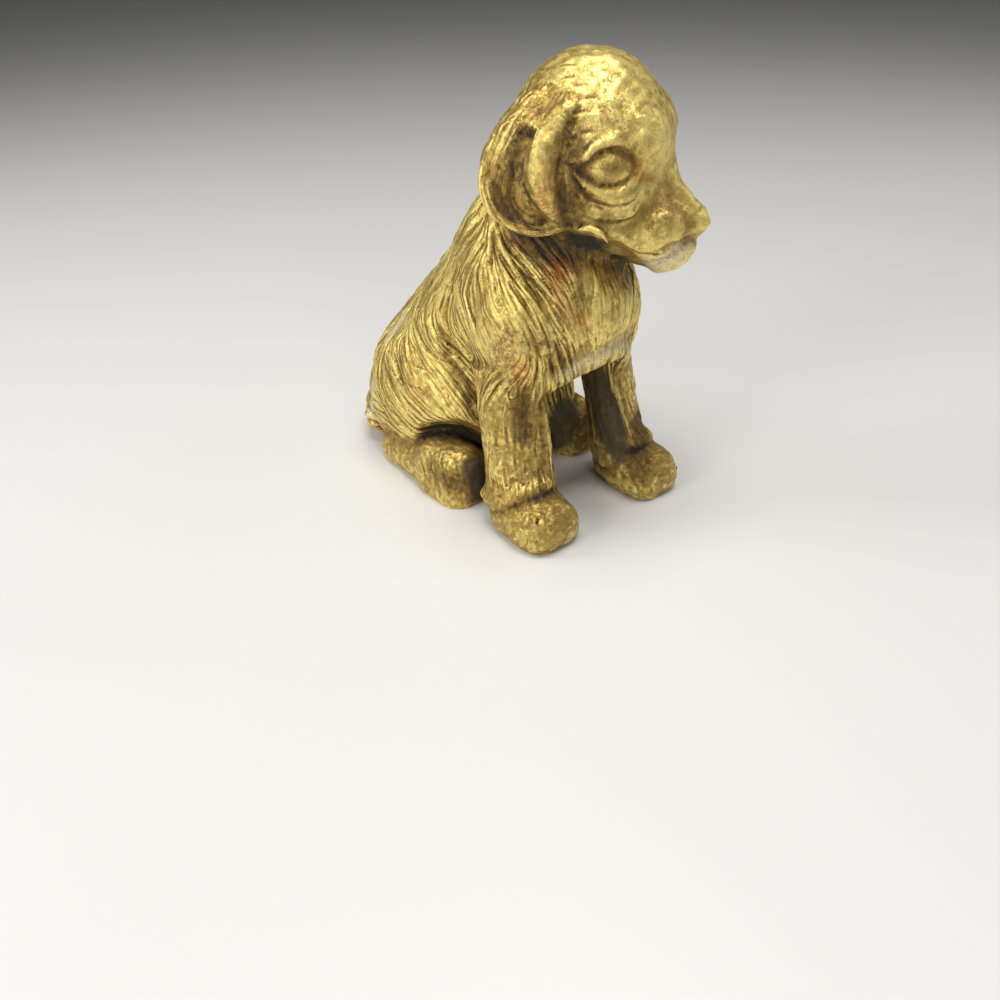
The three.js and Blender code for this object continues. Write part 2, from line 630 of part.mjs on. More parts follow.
// Cuts and adds one side's eye, lip line and cheek fold
function withFeatures(solid, skin, side) {
  const out = vector(EYE_FACING).normalize();
  const back = new THREE.Vector3(-out.y, out.x, 0).normalize();
  const up = new THREE.Vector3().crossVectors(out, back);
  const [eyeAt] = laid([EYE_AT], skin);
  const eye = new THREE.Matrix4().makeBasis(out, back, up).setPosition(...eyeAt);
  const socketAt = eye.clone().multiply(new THREE.Matrix4().makeTranslation(SOCKET_HALF[0] / 2, 0, 0));
  const eyeballAt = eye.clone().multiply(new THREE.Matrix4().makeTranslation(-EYEBALL_SINK, 0, 0));
  const [cornerAt] = laid([MOUTH_CORNER.at], skin);
  const corner = new THREE.Matrix4().setPosition(...cornerAt);
  const onSide = (part) => (side > 0 ? part : part.mirror([1, 0, 0]));
  const lid = (path, radius) => onSide(bead(path, radius).transform(eye.toArray()));
  return solid
    .subtract(onSide(ball(SOCKET_HALF, socketAt)))
    .subtract(onSide(ball(MOUTH_CORNER.half, corner)))
    .subtract(onSide(bead(laid(MOUTH_PATH, skin), MOUTH_RADIUS)))
    .subtract(onSide(bead(laid(CHEEK_FOLD_PATH, skin), CHEEK_FOLD_RADIUS)))
    .add(onSide(ball(EYEBALL_HALF, eyeballAt)))
    .add(lid(UPPER_LID_PATH, UPPER_LID_RADIUS))
    .add(lid(LOWER_LID_PATH, LOWER_LID_RADIUS));
}

function headSolid(hollow) {
  const field = (p) => Math.max(castingFromHead(p), -SOFT - neckAbove(p.clone().applyMatrix4(headPlace)));
  const box = skullBox.clone().union(neckBox.clone().applyMatrix4(intoHead));
  box.min.z = neckSeamLow - SOFT - HEAD_MIDDLE[2];
  const steps = { step: HEAD_STEP, across: HEAD_ACROSS_STEP, close: faceBox, closeStep: FACE_STEP };
  const skin = moved(head, intoHead);
  return withFeatures(withFeatures(facet(field, gridOver(box, steps)), skin, 1), skin, -1)
    .intersect(aboveNeck(SEAM / 2).transform(intoHead.toArray()))
    .subtract(hollow.transform(intoHead.toArray()))
    .subtract(earSolid(1, SOCKET_GAP))
    .subtract(earSolid(-1, SOCKET_GAP));
}

function torsoSolid(hollow) {
  const legStub = (p) => Math.max(foreleg(p), -SOFT / 2 - aboveLegSeam(p));
  const withStubs = withHead(blend(trunk, legStub, FIRM));
  const field = (p) => Math.max(withStubs(p), neckAbove(p) - SOFT);
  const steps = { step: BODY_STEP, across: BODY_ACROSS_STEP, close: chestBox, closeStep: CHEST_STEP };
  return facet(field, gridOver(wholeBox, steps))
    .intersect(aboveGround)
    .subtract(aboveNeck(-SEAM / 2))
    .subtract(legBlock(1, 0))
    .subtract(legBlock(-1, 0))
    .subtract(hollow)
    .subtract(footSolid(1, SOCKET_GAP))
    .subtract(footSolid(-1, SOCKET_GAP))
    .subtract(tailSolid(SOCKET_GAP))
    .subtract(earSolid(1, SOCKET_GAP).transform(headPlace.toArray()))
    .subtract(earSolid(-1, SOCKET_GAP).transform(headPlace.toArray()));
}

function forelegSolid(side) {
  const inner = legAxis - LEG_WIDTH;
  const beyond = (p) => Math.max(aboveLegSeam(p), p.y - ELBOW_BACK, inner - side * p.x) - FIRM;
  const field = (p) => Math.max(casting(p), beyond(p));
  const joinAt = { at: [inner, ELBOW_BACK, LEG_TOP.up], radius: FIRM };
  const box = boxOf(joinAt, besideLeg(PAW), besideLeg(PAW_HEEL), besideLeg(INNER_TOE), besideLeg(OUTER_TOE));
  const grid = gridOnSide(gridOver(box, { step: LEG_STEP }), side);
  return facet(field, grid)
    .add(bead(laid(pathBesideLeg(PARTING_RIDGE_PATH, side), casting), PARTING_RIDGE_RADIUS))
    .intersect(aboveGround)
    .intersect(legBlock(side, SEAM));
}

// The main body of a cut solid, without the crumbs that fall off at its thin edges
function mainBody(solid) {
  return solid.decompose().reduce((a, b) => (a.volume() > b.volume() ? a : b));
}

function piece(name, solid, finish) {
  const mesh = new THREE.Mesh(geometryOf(mainBody(solid)), new THREE.MeshStandardMaterial(finish));
  mesh.name = name;
  return mesh;
}

const hollow = hollowSolid();
const torso = torsoSolid(hollow);
const figurine = new THREE.Group();
figurine.add(piece('torso_left_shell', torso.intersect(sideBlock(1)), BRASS));
figurine.add(piece('torso_right_shell', torso.intersect(sideBlock(-1)), BRASS));
for (const [word, side] of [['left', 1], ['right', -1]]) {
  figurine.add(piece(`foreleg_${word}`, forelegSolid(side), WORN_BRASS));
  figurine.add(piece(`hind_foot_${word}`, footSolid(side, 0).intersect(aboveGround), DARK_BRASS));
}
figurine.add(piece('tail', tailSolid(0), DARK_BRASS));

const turnedHead = new THREE.Group();
turnedHead.position.set(...HEAD_MIDDLE);
turnedHead.rotation.z = THREE.MathUtils.degToRad(HEAD_TURN);
turnedHead.add(piece('head_shell', headSolid(hollow), BRASS));
turnedHead.add(piece('ear_left', earSolid(1, 0), WORN_BRASS));
turnedHead.add(piece('ear_right', earSolid(-1, 0), WORN_BRASS));
figurine.add(turnedHead);

// Origin under the middle of the figurine's box, on the surface that it stands on
const box = new THREE.Box3().setFromObject(figurine, true);
const middle = box.getCenter(new THREE.Vector3());
figurine.position.set(-middle.x, -middle.y, -box.min.z);

export default figurine;
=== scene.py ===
import json
import math

import bpy
import numpy as np
from mathutils import Matrix, Vector


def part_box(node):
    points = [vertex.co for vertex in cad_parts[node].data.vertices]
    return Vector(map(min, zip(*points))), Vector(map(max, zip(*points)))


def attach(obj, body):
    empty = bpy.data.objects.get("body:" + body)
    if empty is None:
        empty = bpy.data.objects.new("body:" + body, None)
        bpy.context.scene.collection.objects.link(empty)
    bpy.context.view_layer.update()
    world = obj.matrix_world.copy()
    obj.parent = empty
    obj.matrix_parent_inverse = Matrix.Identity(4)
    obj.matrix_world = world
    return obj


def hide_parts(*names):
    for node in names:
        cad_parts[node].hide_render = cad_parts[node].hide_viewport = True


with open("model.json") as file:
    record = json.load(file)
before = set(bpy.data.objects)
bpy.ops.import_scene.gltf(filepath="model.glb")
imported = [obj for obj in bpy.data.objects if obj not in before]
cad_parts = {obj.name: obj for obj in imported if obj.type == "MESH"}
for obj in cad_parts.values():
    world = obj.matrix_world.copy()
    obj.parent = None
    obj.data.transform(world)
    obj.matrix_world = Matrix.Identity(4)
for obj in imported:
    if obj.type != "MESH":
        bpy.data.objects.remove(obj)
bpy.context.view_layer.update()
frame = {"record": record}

# Seated puppy figurine in cast brass, sculpted as one skin and cut into its castings.
# The sculptor's sizes are millimetres: x to the dog's left, y backwards, z up, and x 0 lies
# midway between the forelegs. Many forms and paths are given for one side, and the other mirrors
# them. A cord is a row of points, each with its radius as fourth number.

# Trunk
RUMP = dict(at=(0, 33, 33), radius=34)
WITHERS = dict(at=(0, -9, 86), radius=25.5)
NECK_BASE = dict(at=(0, -8, 88), radius=24.5)
NECK_TOP = dict(at=(1, -18, 108), radius=21)
CHEST = dict(at=(0, -27, 75), half=(21, 19, 20))
SEAT = dict(at=(-1, 43, 17), half=(34, 31, 24))
SHOULDER = dict(at=(20, -20, 68), half=(12, 16, 22), tilt=-8)
RIGHT_HAUNCH = dict(at=(-21, 24, 27), half=(17, 33, 26), tilt=10)
LEFT_HAUNCH = dict(at=(20, 26, 21), half=(16.5, 33, 22), tilt=6)
UNDER_RIGHT_HAUNCH = dict(at=(-37, -8, 8), half=(19, 27, 25))
UNDER_LEFT_HAUNCH = dict(at=(36, -8, 6), half=(17, 24, 22))
CHEST_VALLEY = [(-12, -42, 96, 1.5), (-9, -43, 86, 2.5), (-10, -45, 77, 3), (-10, -45, 69, 2.6),
                (-9, -43, 61, 1.2)]
FLANK_CREASE = [(27, 7, 77, 0.8), (29, 9, 69, 1.8), (29.5, 7, 60, 2.6), (28.5, 2, 52, 2.8),
                (27, -4, 45, 2.6), (27, -8, 36, 1.6)]
UNDER_CHEST = dict(at=(0, -24, 30), half=(15, 19, 31))
CHEST_EDGE = [(0, -41, 62, 4), (8, -39, 60, 4), (15, -35, 56, 4), (20, -31, 52, 3.5)]

# Forelegs
LEG_HALF_WIDTH = 10
LEG_HALF_DEPTH = 11.6
LEG_TURN = -38
LEG_TOP = (22, -18.5, 58)
WRIST = (24.2, -28.5, 14)
CUFF_FLARE = 0.12
CUFF_SHARE = 0.4
CUFF = [(34.2, -21, 12, 1.5), (34.6, -28.5, 13, 2.4), (32.2, -35, 16, 2.8), (27.5, -38.2, 18.5, 2.8),
        (21.8, -39, 20, 2.6), (16.8, -36.2, 20, 1.6)]
PAW = dict(at=(25.4, -38.6, 6.8), half=(12.6, 12.8, 11.2))
PAW_HEEL = dict(at=(25.4, -29.8, 5.9), half=(11.5, 11.5, 7.9))
TOES = [dict(at=(20.6, -45.4, 5.8), half=(6.6, 6.4, 8)),
        dict(at=(29.6, -45.2, 5.8), half=(6.6, 6.6, 8))]
TOE_CLEFT = [(32.2, -46.6, 14, 0.1), (33.8, -48, 10.5, 0.2), (34.4, -49, 6.5, 0.1)]
PARTING_RIDGE = [(15.5, -29, 50, 1.5), (16.5, -33, 40, 1.4), (18, -36.5, 29, 1.3), (20.5, -39, 20, 1.2)]

# Hind feet and tail
HEEL_BACK = 37
HEEL_UP = 5
HEEL_RADIUS = 8.5
INSTEP_BACK = 10
INSTEP_UP = 8
INSTEP_RADIUS = 10.5
HIND_TOES = dict(back=3, up=8, half=(10.2, 14, 14), rounding=9)
RIGHT_FOOT_ACROSS = -30.5
LEFT_FOOT_ACROSS = 25
TAIL_PATH = [(-2, 67, 14), (-17, 65, 12), (-28, 56.5, 9)]
TAIL_RADII = [6.5, 7.5, 7.5]
TAIL_SINK = 2

# Head, in its own frame: x outwards to a side, y back, z up
HEAD_MIDDLE = (3, -25, 116)
HEAD_TURN = 34
SKULL = dict(at=(0, -3, 7.8), half=(25.5, 25.5, 28))
BROW = dict(at=(9, -18.6, 14), half=(10, 9, 9))
NAPE_SIDE = dict(at=(14, 12, 4), half=(9, 10, 13))
CHEEK = dict(at=(14, -8, -5), half=(12, 17, 11.5))
MUZZLE_ROOT = dict(at=(0, -20, -9), radius=12.5)
NOSE = dict(at=(0, -35.5, -13.8), radius=4)
STOP = dict(at=(0, -18, 2.2), radius=9.2)
NOSE_TOP = dict(at=(0, -37.2, -10.4), radius=3.4)
NOSE_TIP = (0, -43.2, -12.8)
NOSE_TOP_SLOPE = 38
NOSE_SIDE_TURN = 42
NOSE_UNDER_SLOPE = 12
NOSE_ROOT = dict(at=(0, -32, -11), half=(9.5, 11.5, 8.5))
LIP = dict(at=(9, -21.2, -12.6), half=(9, 13.6, 10))
JAW = dict(at=(0, -25.5, -19.5), half=(9.5, 12.5, 9.5))
MOUTH = [(25.5, -10, -10.1, 0.6), (24.3, -14, -13.6, 1.1), (21.3, -18.2, -17.9, 1.6),
         (17.5, -23, -20.6, 1.8), (16, -28, -18.6, 1.6), (13.5, -32.6, -16.4, 1.4),
         (8, -37, -16.4, 1.2), (2.5, -40, -17.6, 1)]
CHEEK_FOLD = [(26, -9.5, -1.5, 0.8), (25.7, -13.5, -4.3, 1.4), (25, -16.8, -7.2, 2),
              (22.7, -20.8, -8.6, 2.3), (20.7, -23.2, -8, 2.2), (17.9, -25.8, -4.8, 1.8),
              (14.3, -28, -2.4, 1)]

# Eyes, measured outward, back and up from the middle of the opening
EYE_AT = (21.9, -14.2, 8)
EYE_OUT = (0.85, -0.52, 0.05)
SOCKET = dict(at=(1.4, 0, 0.9), half=(4, 8.6, 6.7))
EYEBALL = dict(at=(-4.9, -0.2, -0.6), half=(7, 9.2, 6.5))
UPPER_LID = [(-1.6, -9.4, 0.6, 0.8), (-0.6, -6.5, 4.3, 1.3), (-0.1, -1, 6.9, 1.5),
             (-0.4, 4.3, 5.8, 1.4), (-1.3, 8.2, 2.4, 1), (-1.8, 12.5, 1.7, 0.3)]
LOWER_LID = [(-1.3, -9.6, -0.4, 0.9), (-0.3, -5.6, -5.4, 1.5), (0, 1, -6.7, 1.7),
             (-0.4, 6.4, -4.9, 1.4), (-1.6, 10.2, -1.2, 0.6)]
EYE_BAG = [(-1.6, -8, -8.8, 0.8), (-1.6, -3, -11.2, 2), (-1.7, 3.5, -11, 2.2), (-1.8, 8, -8, 1)]

# Ears, in the head's frame
EAR_LEAF = dict(at=(20.8, 11.5, 3.5), half=(4.6, 12, 16), tilt=-12)
EAR_ROOT = dict(at=(15.5, 6, 16), half=(6, 11, 11), tilt=25)
EAR_ROLL = [(18, -3.5, 24, 1.5), (20.5, -0.5, 21.5, 3), (22.4, 2.5, 17.5, 4), (23.8, 4.5, 13, 4.6),
            (24.7, 5.4, 8.5, 4.7), (25, 5, 4, 4.5), (24.9, 3.6, 0, 4), (24.8, 1.6, -4, 3.2),
            (24.4, -0.6, -8, 2)]
EAR_RIM = [(24.2, -0.5, -8, 1.2), (24.8, 4, -10.6, 1.5), (25, 9, -11, 1.6), (25.3, 15.2, -9.2, 1.7),
           (25, 20, -5.6, 1.8), (23.8, 22.4, -1, 2), (22, 22.9, 4, 2.2), (19.8, 21.6, 9.5, 2.2),
           (17, 18.5, 15, 1.2)]
EAR_VALLEY = [(25, 9.5, 16, 0.8), (27.6, 12.2, 11.5, 2), (28.8, 13.4, 6.5, 2.8), (29, 12.8, 1, 2.8),
              (28.4, 9.6, -4, 1.8)]
POCKET = dict(at=(26.2, -9.6, -11), half=(3, 3.4, 2.4))
POCKET_RIM = [(26.6, -6, -8.6, 0.6), (26.6, -9.4, -8, 1), (25.8, -12.6, -9.6, 1),
              (24.9, -14.6, -12.2, 0.6)]
THROAT_GROOVE = [(25, 11, -13, 1.5), (23.5, 3, -15, 3.6), (21.5, -7, -16.5, 4.2), (17.5, -15.5, -20, 4),
                 (11, -20, -25.5, 3.6), (4, -21, -29, 3.2)]

# Seams between the castings
NECK_SEAM_AT = (0, -18, 100)
NECK_SEAM_SLANT = 30
LEG_SEAM_BACK = (-10.5, 37.5)
LEG_SEAM_FRONT = (-42, 54)
HAUNCH_FROM = 8

# Softness of the runs between masses
SOFT = 10
FIRM = 4
CRISP = 1.3
MUZZLE_SOFT = 7
RIM_SOFT = 3
NOSE_SOFT = 2
LID_SOFT = 2
FOLD_SOFT = 1.5
BAG_SOFT = 2.5
FINE_CUT = 1
LOWER_LID_SOFT = 1.2
EYEBALL_SOFT = 0.8

# The skin's mesh: its coarser grid and box, and how far forms reach
SKIN_STEP = 0.8
SKIN_LOW = (-48, -72, -4)
SKIN_HIGH = (56, 86, 158)
BLOCK_REACH = 1.15
HEAD_REACH = 60
CORD_REACH = 14
FAR = 1000.0
LEAST_SLOPE = 0.4
NODES_AT_ONCE = 300000
POINTS_AT_ONCE = 20000
SIDES = ((1, 1, 1), (-1, 1, 1))

# The castings, the two halves of the body in two pieces each
PIECES = ["torso_left_shell", "torso_left_haunch", "torso_right_shell", "torso_right_haunch",
          "foreleg_left", "foreleg_right", "hind_foot_left", "hind_foot_right", "tail", "head_shell",
          "ear_left", "ear_right"]
NODE_OF = {"torso_left_haunch": "torso_left_shell", "torso_right_haunch": "torso_right_shell"}

# Layers that close a casting behind its edges: how far each draws in towards the aim, and how deep it
# lies. Long rings of the body draw in towards its core, the others towards their own middle.
CAP_SHARES = (0, 0.03, 0.12, 0.25, 0.4, 0.6)
CAP_DEPTHS = (0.8, 1.6, 2.5, 4, 6, 8)
TORSO_CORE = (0, 5, 80)
LONG_RING = 500

# Below this height the fur is not let into the flat underside
FLAT_BELOW = 0.3

# Chased fur: lines that it follows, on the right-hand side, from root to tip
COAT_GUIDES = [
    [(0, 4, 106), (0, 24, 84), (0, 46, 64), (0, 62, 44), (0, 68, 22)],
    [(-20, 0, 100), (-24, 14, 80), (-28, 30, 62), (-32, 44, 42), (-28, 58, 22)],
    [(-26, -7, 99), (-26, 10, 80), (-28, 17, 68), (-30, 13, 60), (-29, 5, 55), (-25, -3, 48)],
    [(-27, -13, 96), (-29, -2, 80), (-29, -4, 75), (-31, -12, 69), (-32, -20, 62)],
    [(-27, -15, 94), (-30, -18, 84), (-30, -26, 76)],
    [(-27, 30, 62), (-31, 16, 55), (-30, 6, 49), (-28, -4, 40)],
    [(-32, 40, 47), (-36, 30, 40), (-38, 20, 33), (-36, 7, 28)],
    [(-35, 42, 38), (-37, 38, 30), (-38, 29, 23), (-37, 18, 19)],
    [(-30, 60, 20), (-36, 48, 22), (-38, 36, 24)],
    [(-25, -20, 95), (-25, -28, 88), (-23, -34, 81), (-20, -38, 70)],
    [(-24, -24, 96), (-20, -32, 90), (-17, -38, 82), (-11, -43, 72)],
    [(-18, -31, 98), (-14, -36, 92), (-12, -41, 84), (-10, -43, 76)],
    [(-29, -30, 62), (-32, -23, 55), (-33, -18, 46)],
    [(-33, -20, 46), (-34, -24, 33), (-34, -28, 20)],
    [(-27, -31, 46), (-28, -33, 33), (-29, -36, 22)],
    [(-6, -46, 98), (-3, -43, 88), (-4, -44, 80)],
    [(4, -48, 92), (7, -44, 84), (7, -44, 70)],
    [(-15, -28, 48), (-15, -30, 30), (-16, -34, 18)],
]
HEAD_GUIDES = [
    [(17, 1, 29), (21, 5, 23), (24, 10, 17), (27, 15, 9), (27, 19, 1)],
    [(15, 8, 29), (20, 14, 22), (23, 19, 13), (24, 23, 3)],
    [(24, 3, 23), (28, 5, 16), (29, 9, 8), (28, 12, -2)],
    [(25, 23, 1), (27, 17, -8), (26, 8, -10), (27, 1, -8)],
    [(11, 8, 32), (11, 0, 33), (11, -6, 33)],
    [(24, -1, 22), (22, -6, 22), (20, -11, 23)],
    [(0, 18, 24), (0, 23, 8), (0, 20, -10)],
    [(12, 16, 22), (14, 22, 6), (14, 18, -10)],
]

# Cuts made one by one: on the head in its frame, on the body and its legs, and on the hind feet
HEAD_CUTS = [
    [(23.2, -2.1, 21.6), (21.7, -4.5, 22.4), (20.9, -8.8, 22.6)],
    [(23.9, -5.4, 17.1), (23.5, -7.3, 17.7), (22.9, -9.6, 17.9)],
    [(24.1, -1.8, 19.1), (23.1, -3.2, 20)],
    [(20.1, -4.3, 25.1), (19, -7.7, 25.8), (18.7, -10.4, 25.1)],
    [(24.5, -2.5, 15.6), (24.2, -4.7, 16.4)],
    [(25, -1.6, 13.6), (24.8, -3.2, 14.4)],
    [(10.4, 5.1, 31.8), (11, 1.6, 32.5), (11.6, -1.7, 32.7)],
    [(15, 2.8, 29.5), (15.1, 0, 30.1), (15.2, -2.3, 30.3)],
    [(16.9, 0.2, 28.5), (17.2, -2.8, 28.5), (17.6, -5.1, 28)],
    [(18.7, 7.9, 25.9), (18.3, 4.3, 26.3), (18.9, 0.2, 26.4)],
    [(16.2, 9.1, 26.9), (17.5, 5, 26.9)],
    [(18.4, 11.7, 25.3), (18.2, 8.8, 26.1)],
    [(22.7, 8.8, 21.8), (20.7, 5.9, 23.6)],
    [(23.7, 4.8, 21.8), (21.7, 2, 23.9)],
    [(25.8, 5.7, 19.1), (25.4, 3, 20.5)],
    [(24, 8.4, 16.1), (26.1, 6.2, 18.2)],
    [(24.5, 12.6, 15.7), (23.9, 10.8, 17.1)],
    [(24.7, 14.1, 12.8), (24.3, 12.3, 14.9)],
    [(23.8, 17.2, 16.7), (23.3, 14.4, 19.9)],
    [(23, 16.2, 19.2), (22.8, 13.1, 21.1)],
    [(23.7, 11.7, 20.1), (22.7, 9.4, 21.8)],
    [(24.4, 21.5, 5.1), (24.4, 19.2, 1.3), (24.4, 17.4, -2.6)],
    [(24.5, 19, 8.1), (24.8, 16.5, 5)],
    [(24.7, 14.1, 9.5), (24.8, 13.6, 5.1), (24.7, 14.2, 1.1)],
    [(25.1, 11.7, 5.3), (25.5, 9.8, 1.1), (25.2, 8.1, -2.3)],
    [(24.7, 16.1, -0.7), (24.5, 13.8, -5.2), (25.2, 10, -8.8)],
    [(24.7, 13.7, -3.4), (24.5, 10.8, -7.9), (26.3, 4.8, -10.2)],
    [(25.2, 8.1, -2.3), (26.6, 3.6, -5.9), (26.7, -1.2, -7.6)],
    [(25.4, 22.5, 0.8), (26.3, 19.9, -3.9), (26.7, 15, -8.1)],
    [(25.4, -2.3, 9.4), (26.9, -5.5, 9.2)],
    [(25.4, -5.3, 4.1), (26.9, -8, 2)],
    [(25.4, -4.2, 1.3), (25.9, -6.7, -0.6)],
    [(26.7, -10.3, -1.3), (25.3, -13.6, -3.4)],
    [(27, -6.4, 3), (25.4, -9.6, -0.4), (22.7, -13.4, -2), (19.6, -18.6, -2), (17, -22.8, 2)],
    [(26.6, -7, -4.6), (22.7, -13.4, -6.8), (19.1, -19.3, -5.6), (17.4, -22.1, -1.6)],
    [(27.2, -5.6, 11.6), (25.6, -8.7, 16), (23.2, -12.6, 18)],
    [(24, -14, -14), (20.8, -19, -18.6), (17.6, -24, -20.4), (16, -28.5, -18.7), (13.4, -33, -16.6),
     (8, -37, -16.4)],
]
BODY_CUTS = [
    [(-29.1, -28, 55), (-28.3, -28.9, 48.5)],
    [(-27.1, -30.7, 56.5), (-26.2, -30.5, 48.8)],
    [(-23.3, -33.7, 54.9), (-23.4, -32.3, 48.5)],
    [(-30.6, -28.5, 41.7), (-31.4, -30.2, 32.3)],
    [(-28.4, -30.9, 40.7), (-29.7, -32.2, 33), (-30.6, -33.8, 25)],
    [(-24.6, -32.7, 41.6), (-26.5, -33.8, 34.3)],
    [(-21.2, -33.8, 39.2), (-23.7, -36.2, 28.8)],
    [(-32.6, -25.6, 40), (-33.9, -27.2, 28)],
    [(-22.6, -37, 26.7), (-25, -41.8, 18.4)],
    [(-32.2, -32.6, 23.5), (-28.7, -38.8, 21.4)],
    [(-33.8, -23.1, 34.8), (-34.9, -23.4, 23.4)],
    [(-32.9, -29.3, 28.6), (-34.1, -32.6, 19.4)],
    [(-27.8, -34.2, 30.3), (-28, -37, 23)],
    [(-25.8, -31.1, 46.3), (-25.2, -31.8, 44.5), (-26.8, -31.2, 43.7)],
    [(-32.3, 33, 50), (-33.9, 20, 47.1), (-30.4, 7.7, 47.6)],
    [(-34.8, 36.9, 43.3), (-36.7, 23.4, 39.9), (-33.9, 9.7, 40.1)],
    [(-30.8, 18.5, 54.4), (-29.4, 8.6, 51.7), (-24.9, 1.9, 50.7)],
]
FOOT_CUTS = [
    [(-38.5, 5.6, 18.9), (-40.7, -1.1, 6.5)],
    [(-36, 0.8, 20.9), (-39.3, -6.8, 7.9)],
    [(-34.9, -4.9, 20.9), (-36.9, -9.4, 13.3)],
    [(-40.2, 9.9, 16.2), (-41.4, 5.2, 8.9)],
]
HAND_CUT = dict(strength=0.9, width=1.9)

# How strokes fade at their start and their end: a slope, and what is left at the very end
CUT_TAPER = ((3, 0.15), (3, 0.15))
STROKE_TAPER = ((4, 0.2), (2.5, 0.1))

# How the coat is cut: gap between strokes, their length, the strength of the cut and of the relief.
# The first row holds all over, the others inside their ellipsoids, on both sides.
COAT = dict(spacing=1.05, reach=18, cut=1, relief=1, width=1)
COAT_PATCHES = [
    dict(at=(20, -26, 95), half=(14, 14, 14), spacing=2.1, reach=20, cut=1.15, relief=1.35, width=1.7),
    dict(at=(28, -24, 72), half=(9, 10, 14), spacing=1.7, reach=4, cut=0.7, relief=0.3, width=1),
    dict(at=(3, -45, 79), half=(13, 11, 19), spacing=2.2, reach=6, cut=0.6, relief=0.25, width=1.2),
    dict(at=(33, 9, 43), half=(9, 17, 12), spacing=2, reach=8, cut=0.7, relief=0.35, width=1.2),
    dict(at=(26, -27, 34), half=(13, 13, 20), spacing=3.2, reach=6, cut=0.6, relief=0.1, width=1.3),
]
EAR_COAT = dict(spacing=2.2, reach=5, cut=0.7, relief=0.5, width=1.3)

# Strokes are tried at random places and walked along the guides in short steps, until they come too
# close to another one
COAT_CANDIDATES = 26000
GUIDE_SPREAD = 16
WALK_STEP = 0.42
WALK_STEPS = 26
STRAND_STEPS = 16
CROWDED = 0.62
STROKE_STARTS_ABOVE = 0.3
STROKE_ENDS_BELOW = 0.15
SHORTEST_STROKE = 5
SHORTEST_SHARE = 0.45
FAINTEST_SHARE = 0.55
GROOVE_WIDTH = 0.62
GROOVE_DEPTH = 0.42
GROOVE_SHARPNESS = 1.4
SEED = 7

# Where the coat and the rough casting skin fade, each from its first measure to its second: gaps
# from a form, or places across it
OFF_EAR = (0.5, 1.5)
ON_HEAD = (4, 1)
ON_ROLL = (0.8, 0)
FACE_BACK = (5, 0)
CROWN_UP = (22, 26)
CROWN_BACK = (16, 10)
PAW_UP = (20.5, 17.5)
PAW_BACK = (-20, -23)
ON_LIMB = (2, 0.5)
LEG_UP = (64, 50)
AROUND_FOOT = (3, 0.5)
UNDERSIDE = (1.5, 0.5)
DARKENING_FROM = (0.4, 0.8)
PATCH_EDGE = (2.5, -2.5)
BODY_ROUGH = 0.35
FACE_SMOOTH = 0.6
EAR_DARKENING = 0.6

# Noise under the coat: rounds of smoothing, the level below which it sinks, how far, and its depth
STRANDS = dict(rounds=2, level=0.5, most=2.4, depth=0.17)
LOCKS = dict(rounds=14, level=0.9, most=2.6, depth=0.32)
LUMPS = dict(rounds=34, level=1.5, most=3, depth=0.15)
CHIPS = dict(rounds=12, level=0.9, most=2.6, depth=0.12)
CHIPS_LOST_IN_FUR = 0.7
LEAST_RELIEF = 0.02
VALLEY_SHARE = 0.6

# What the patina follows: rounds of smoothing and the depth in millimetres that counts as full, and
# how far out the surface is looked at for what shuts it in, from which the finish paints shade
HOLLOWS = ((3, 0.24), (14, 1))
HOLLOW_RANGE = (-1, 1.5)
OCCLUSION_SHADE_REACHES = (2.5, 6, 12)
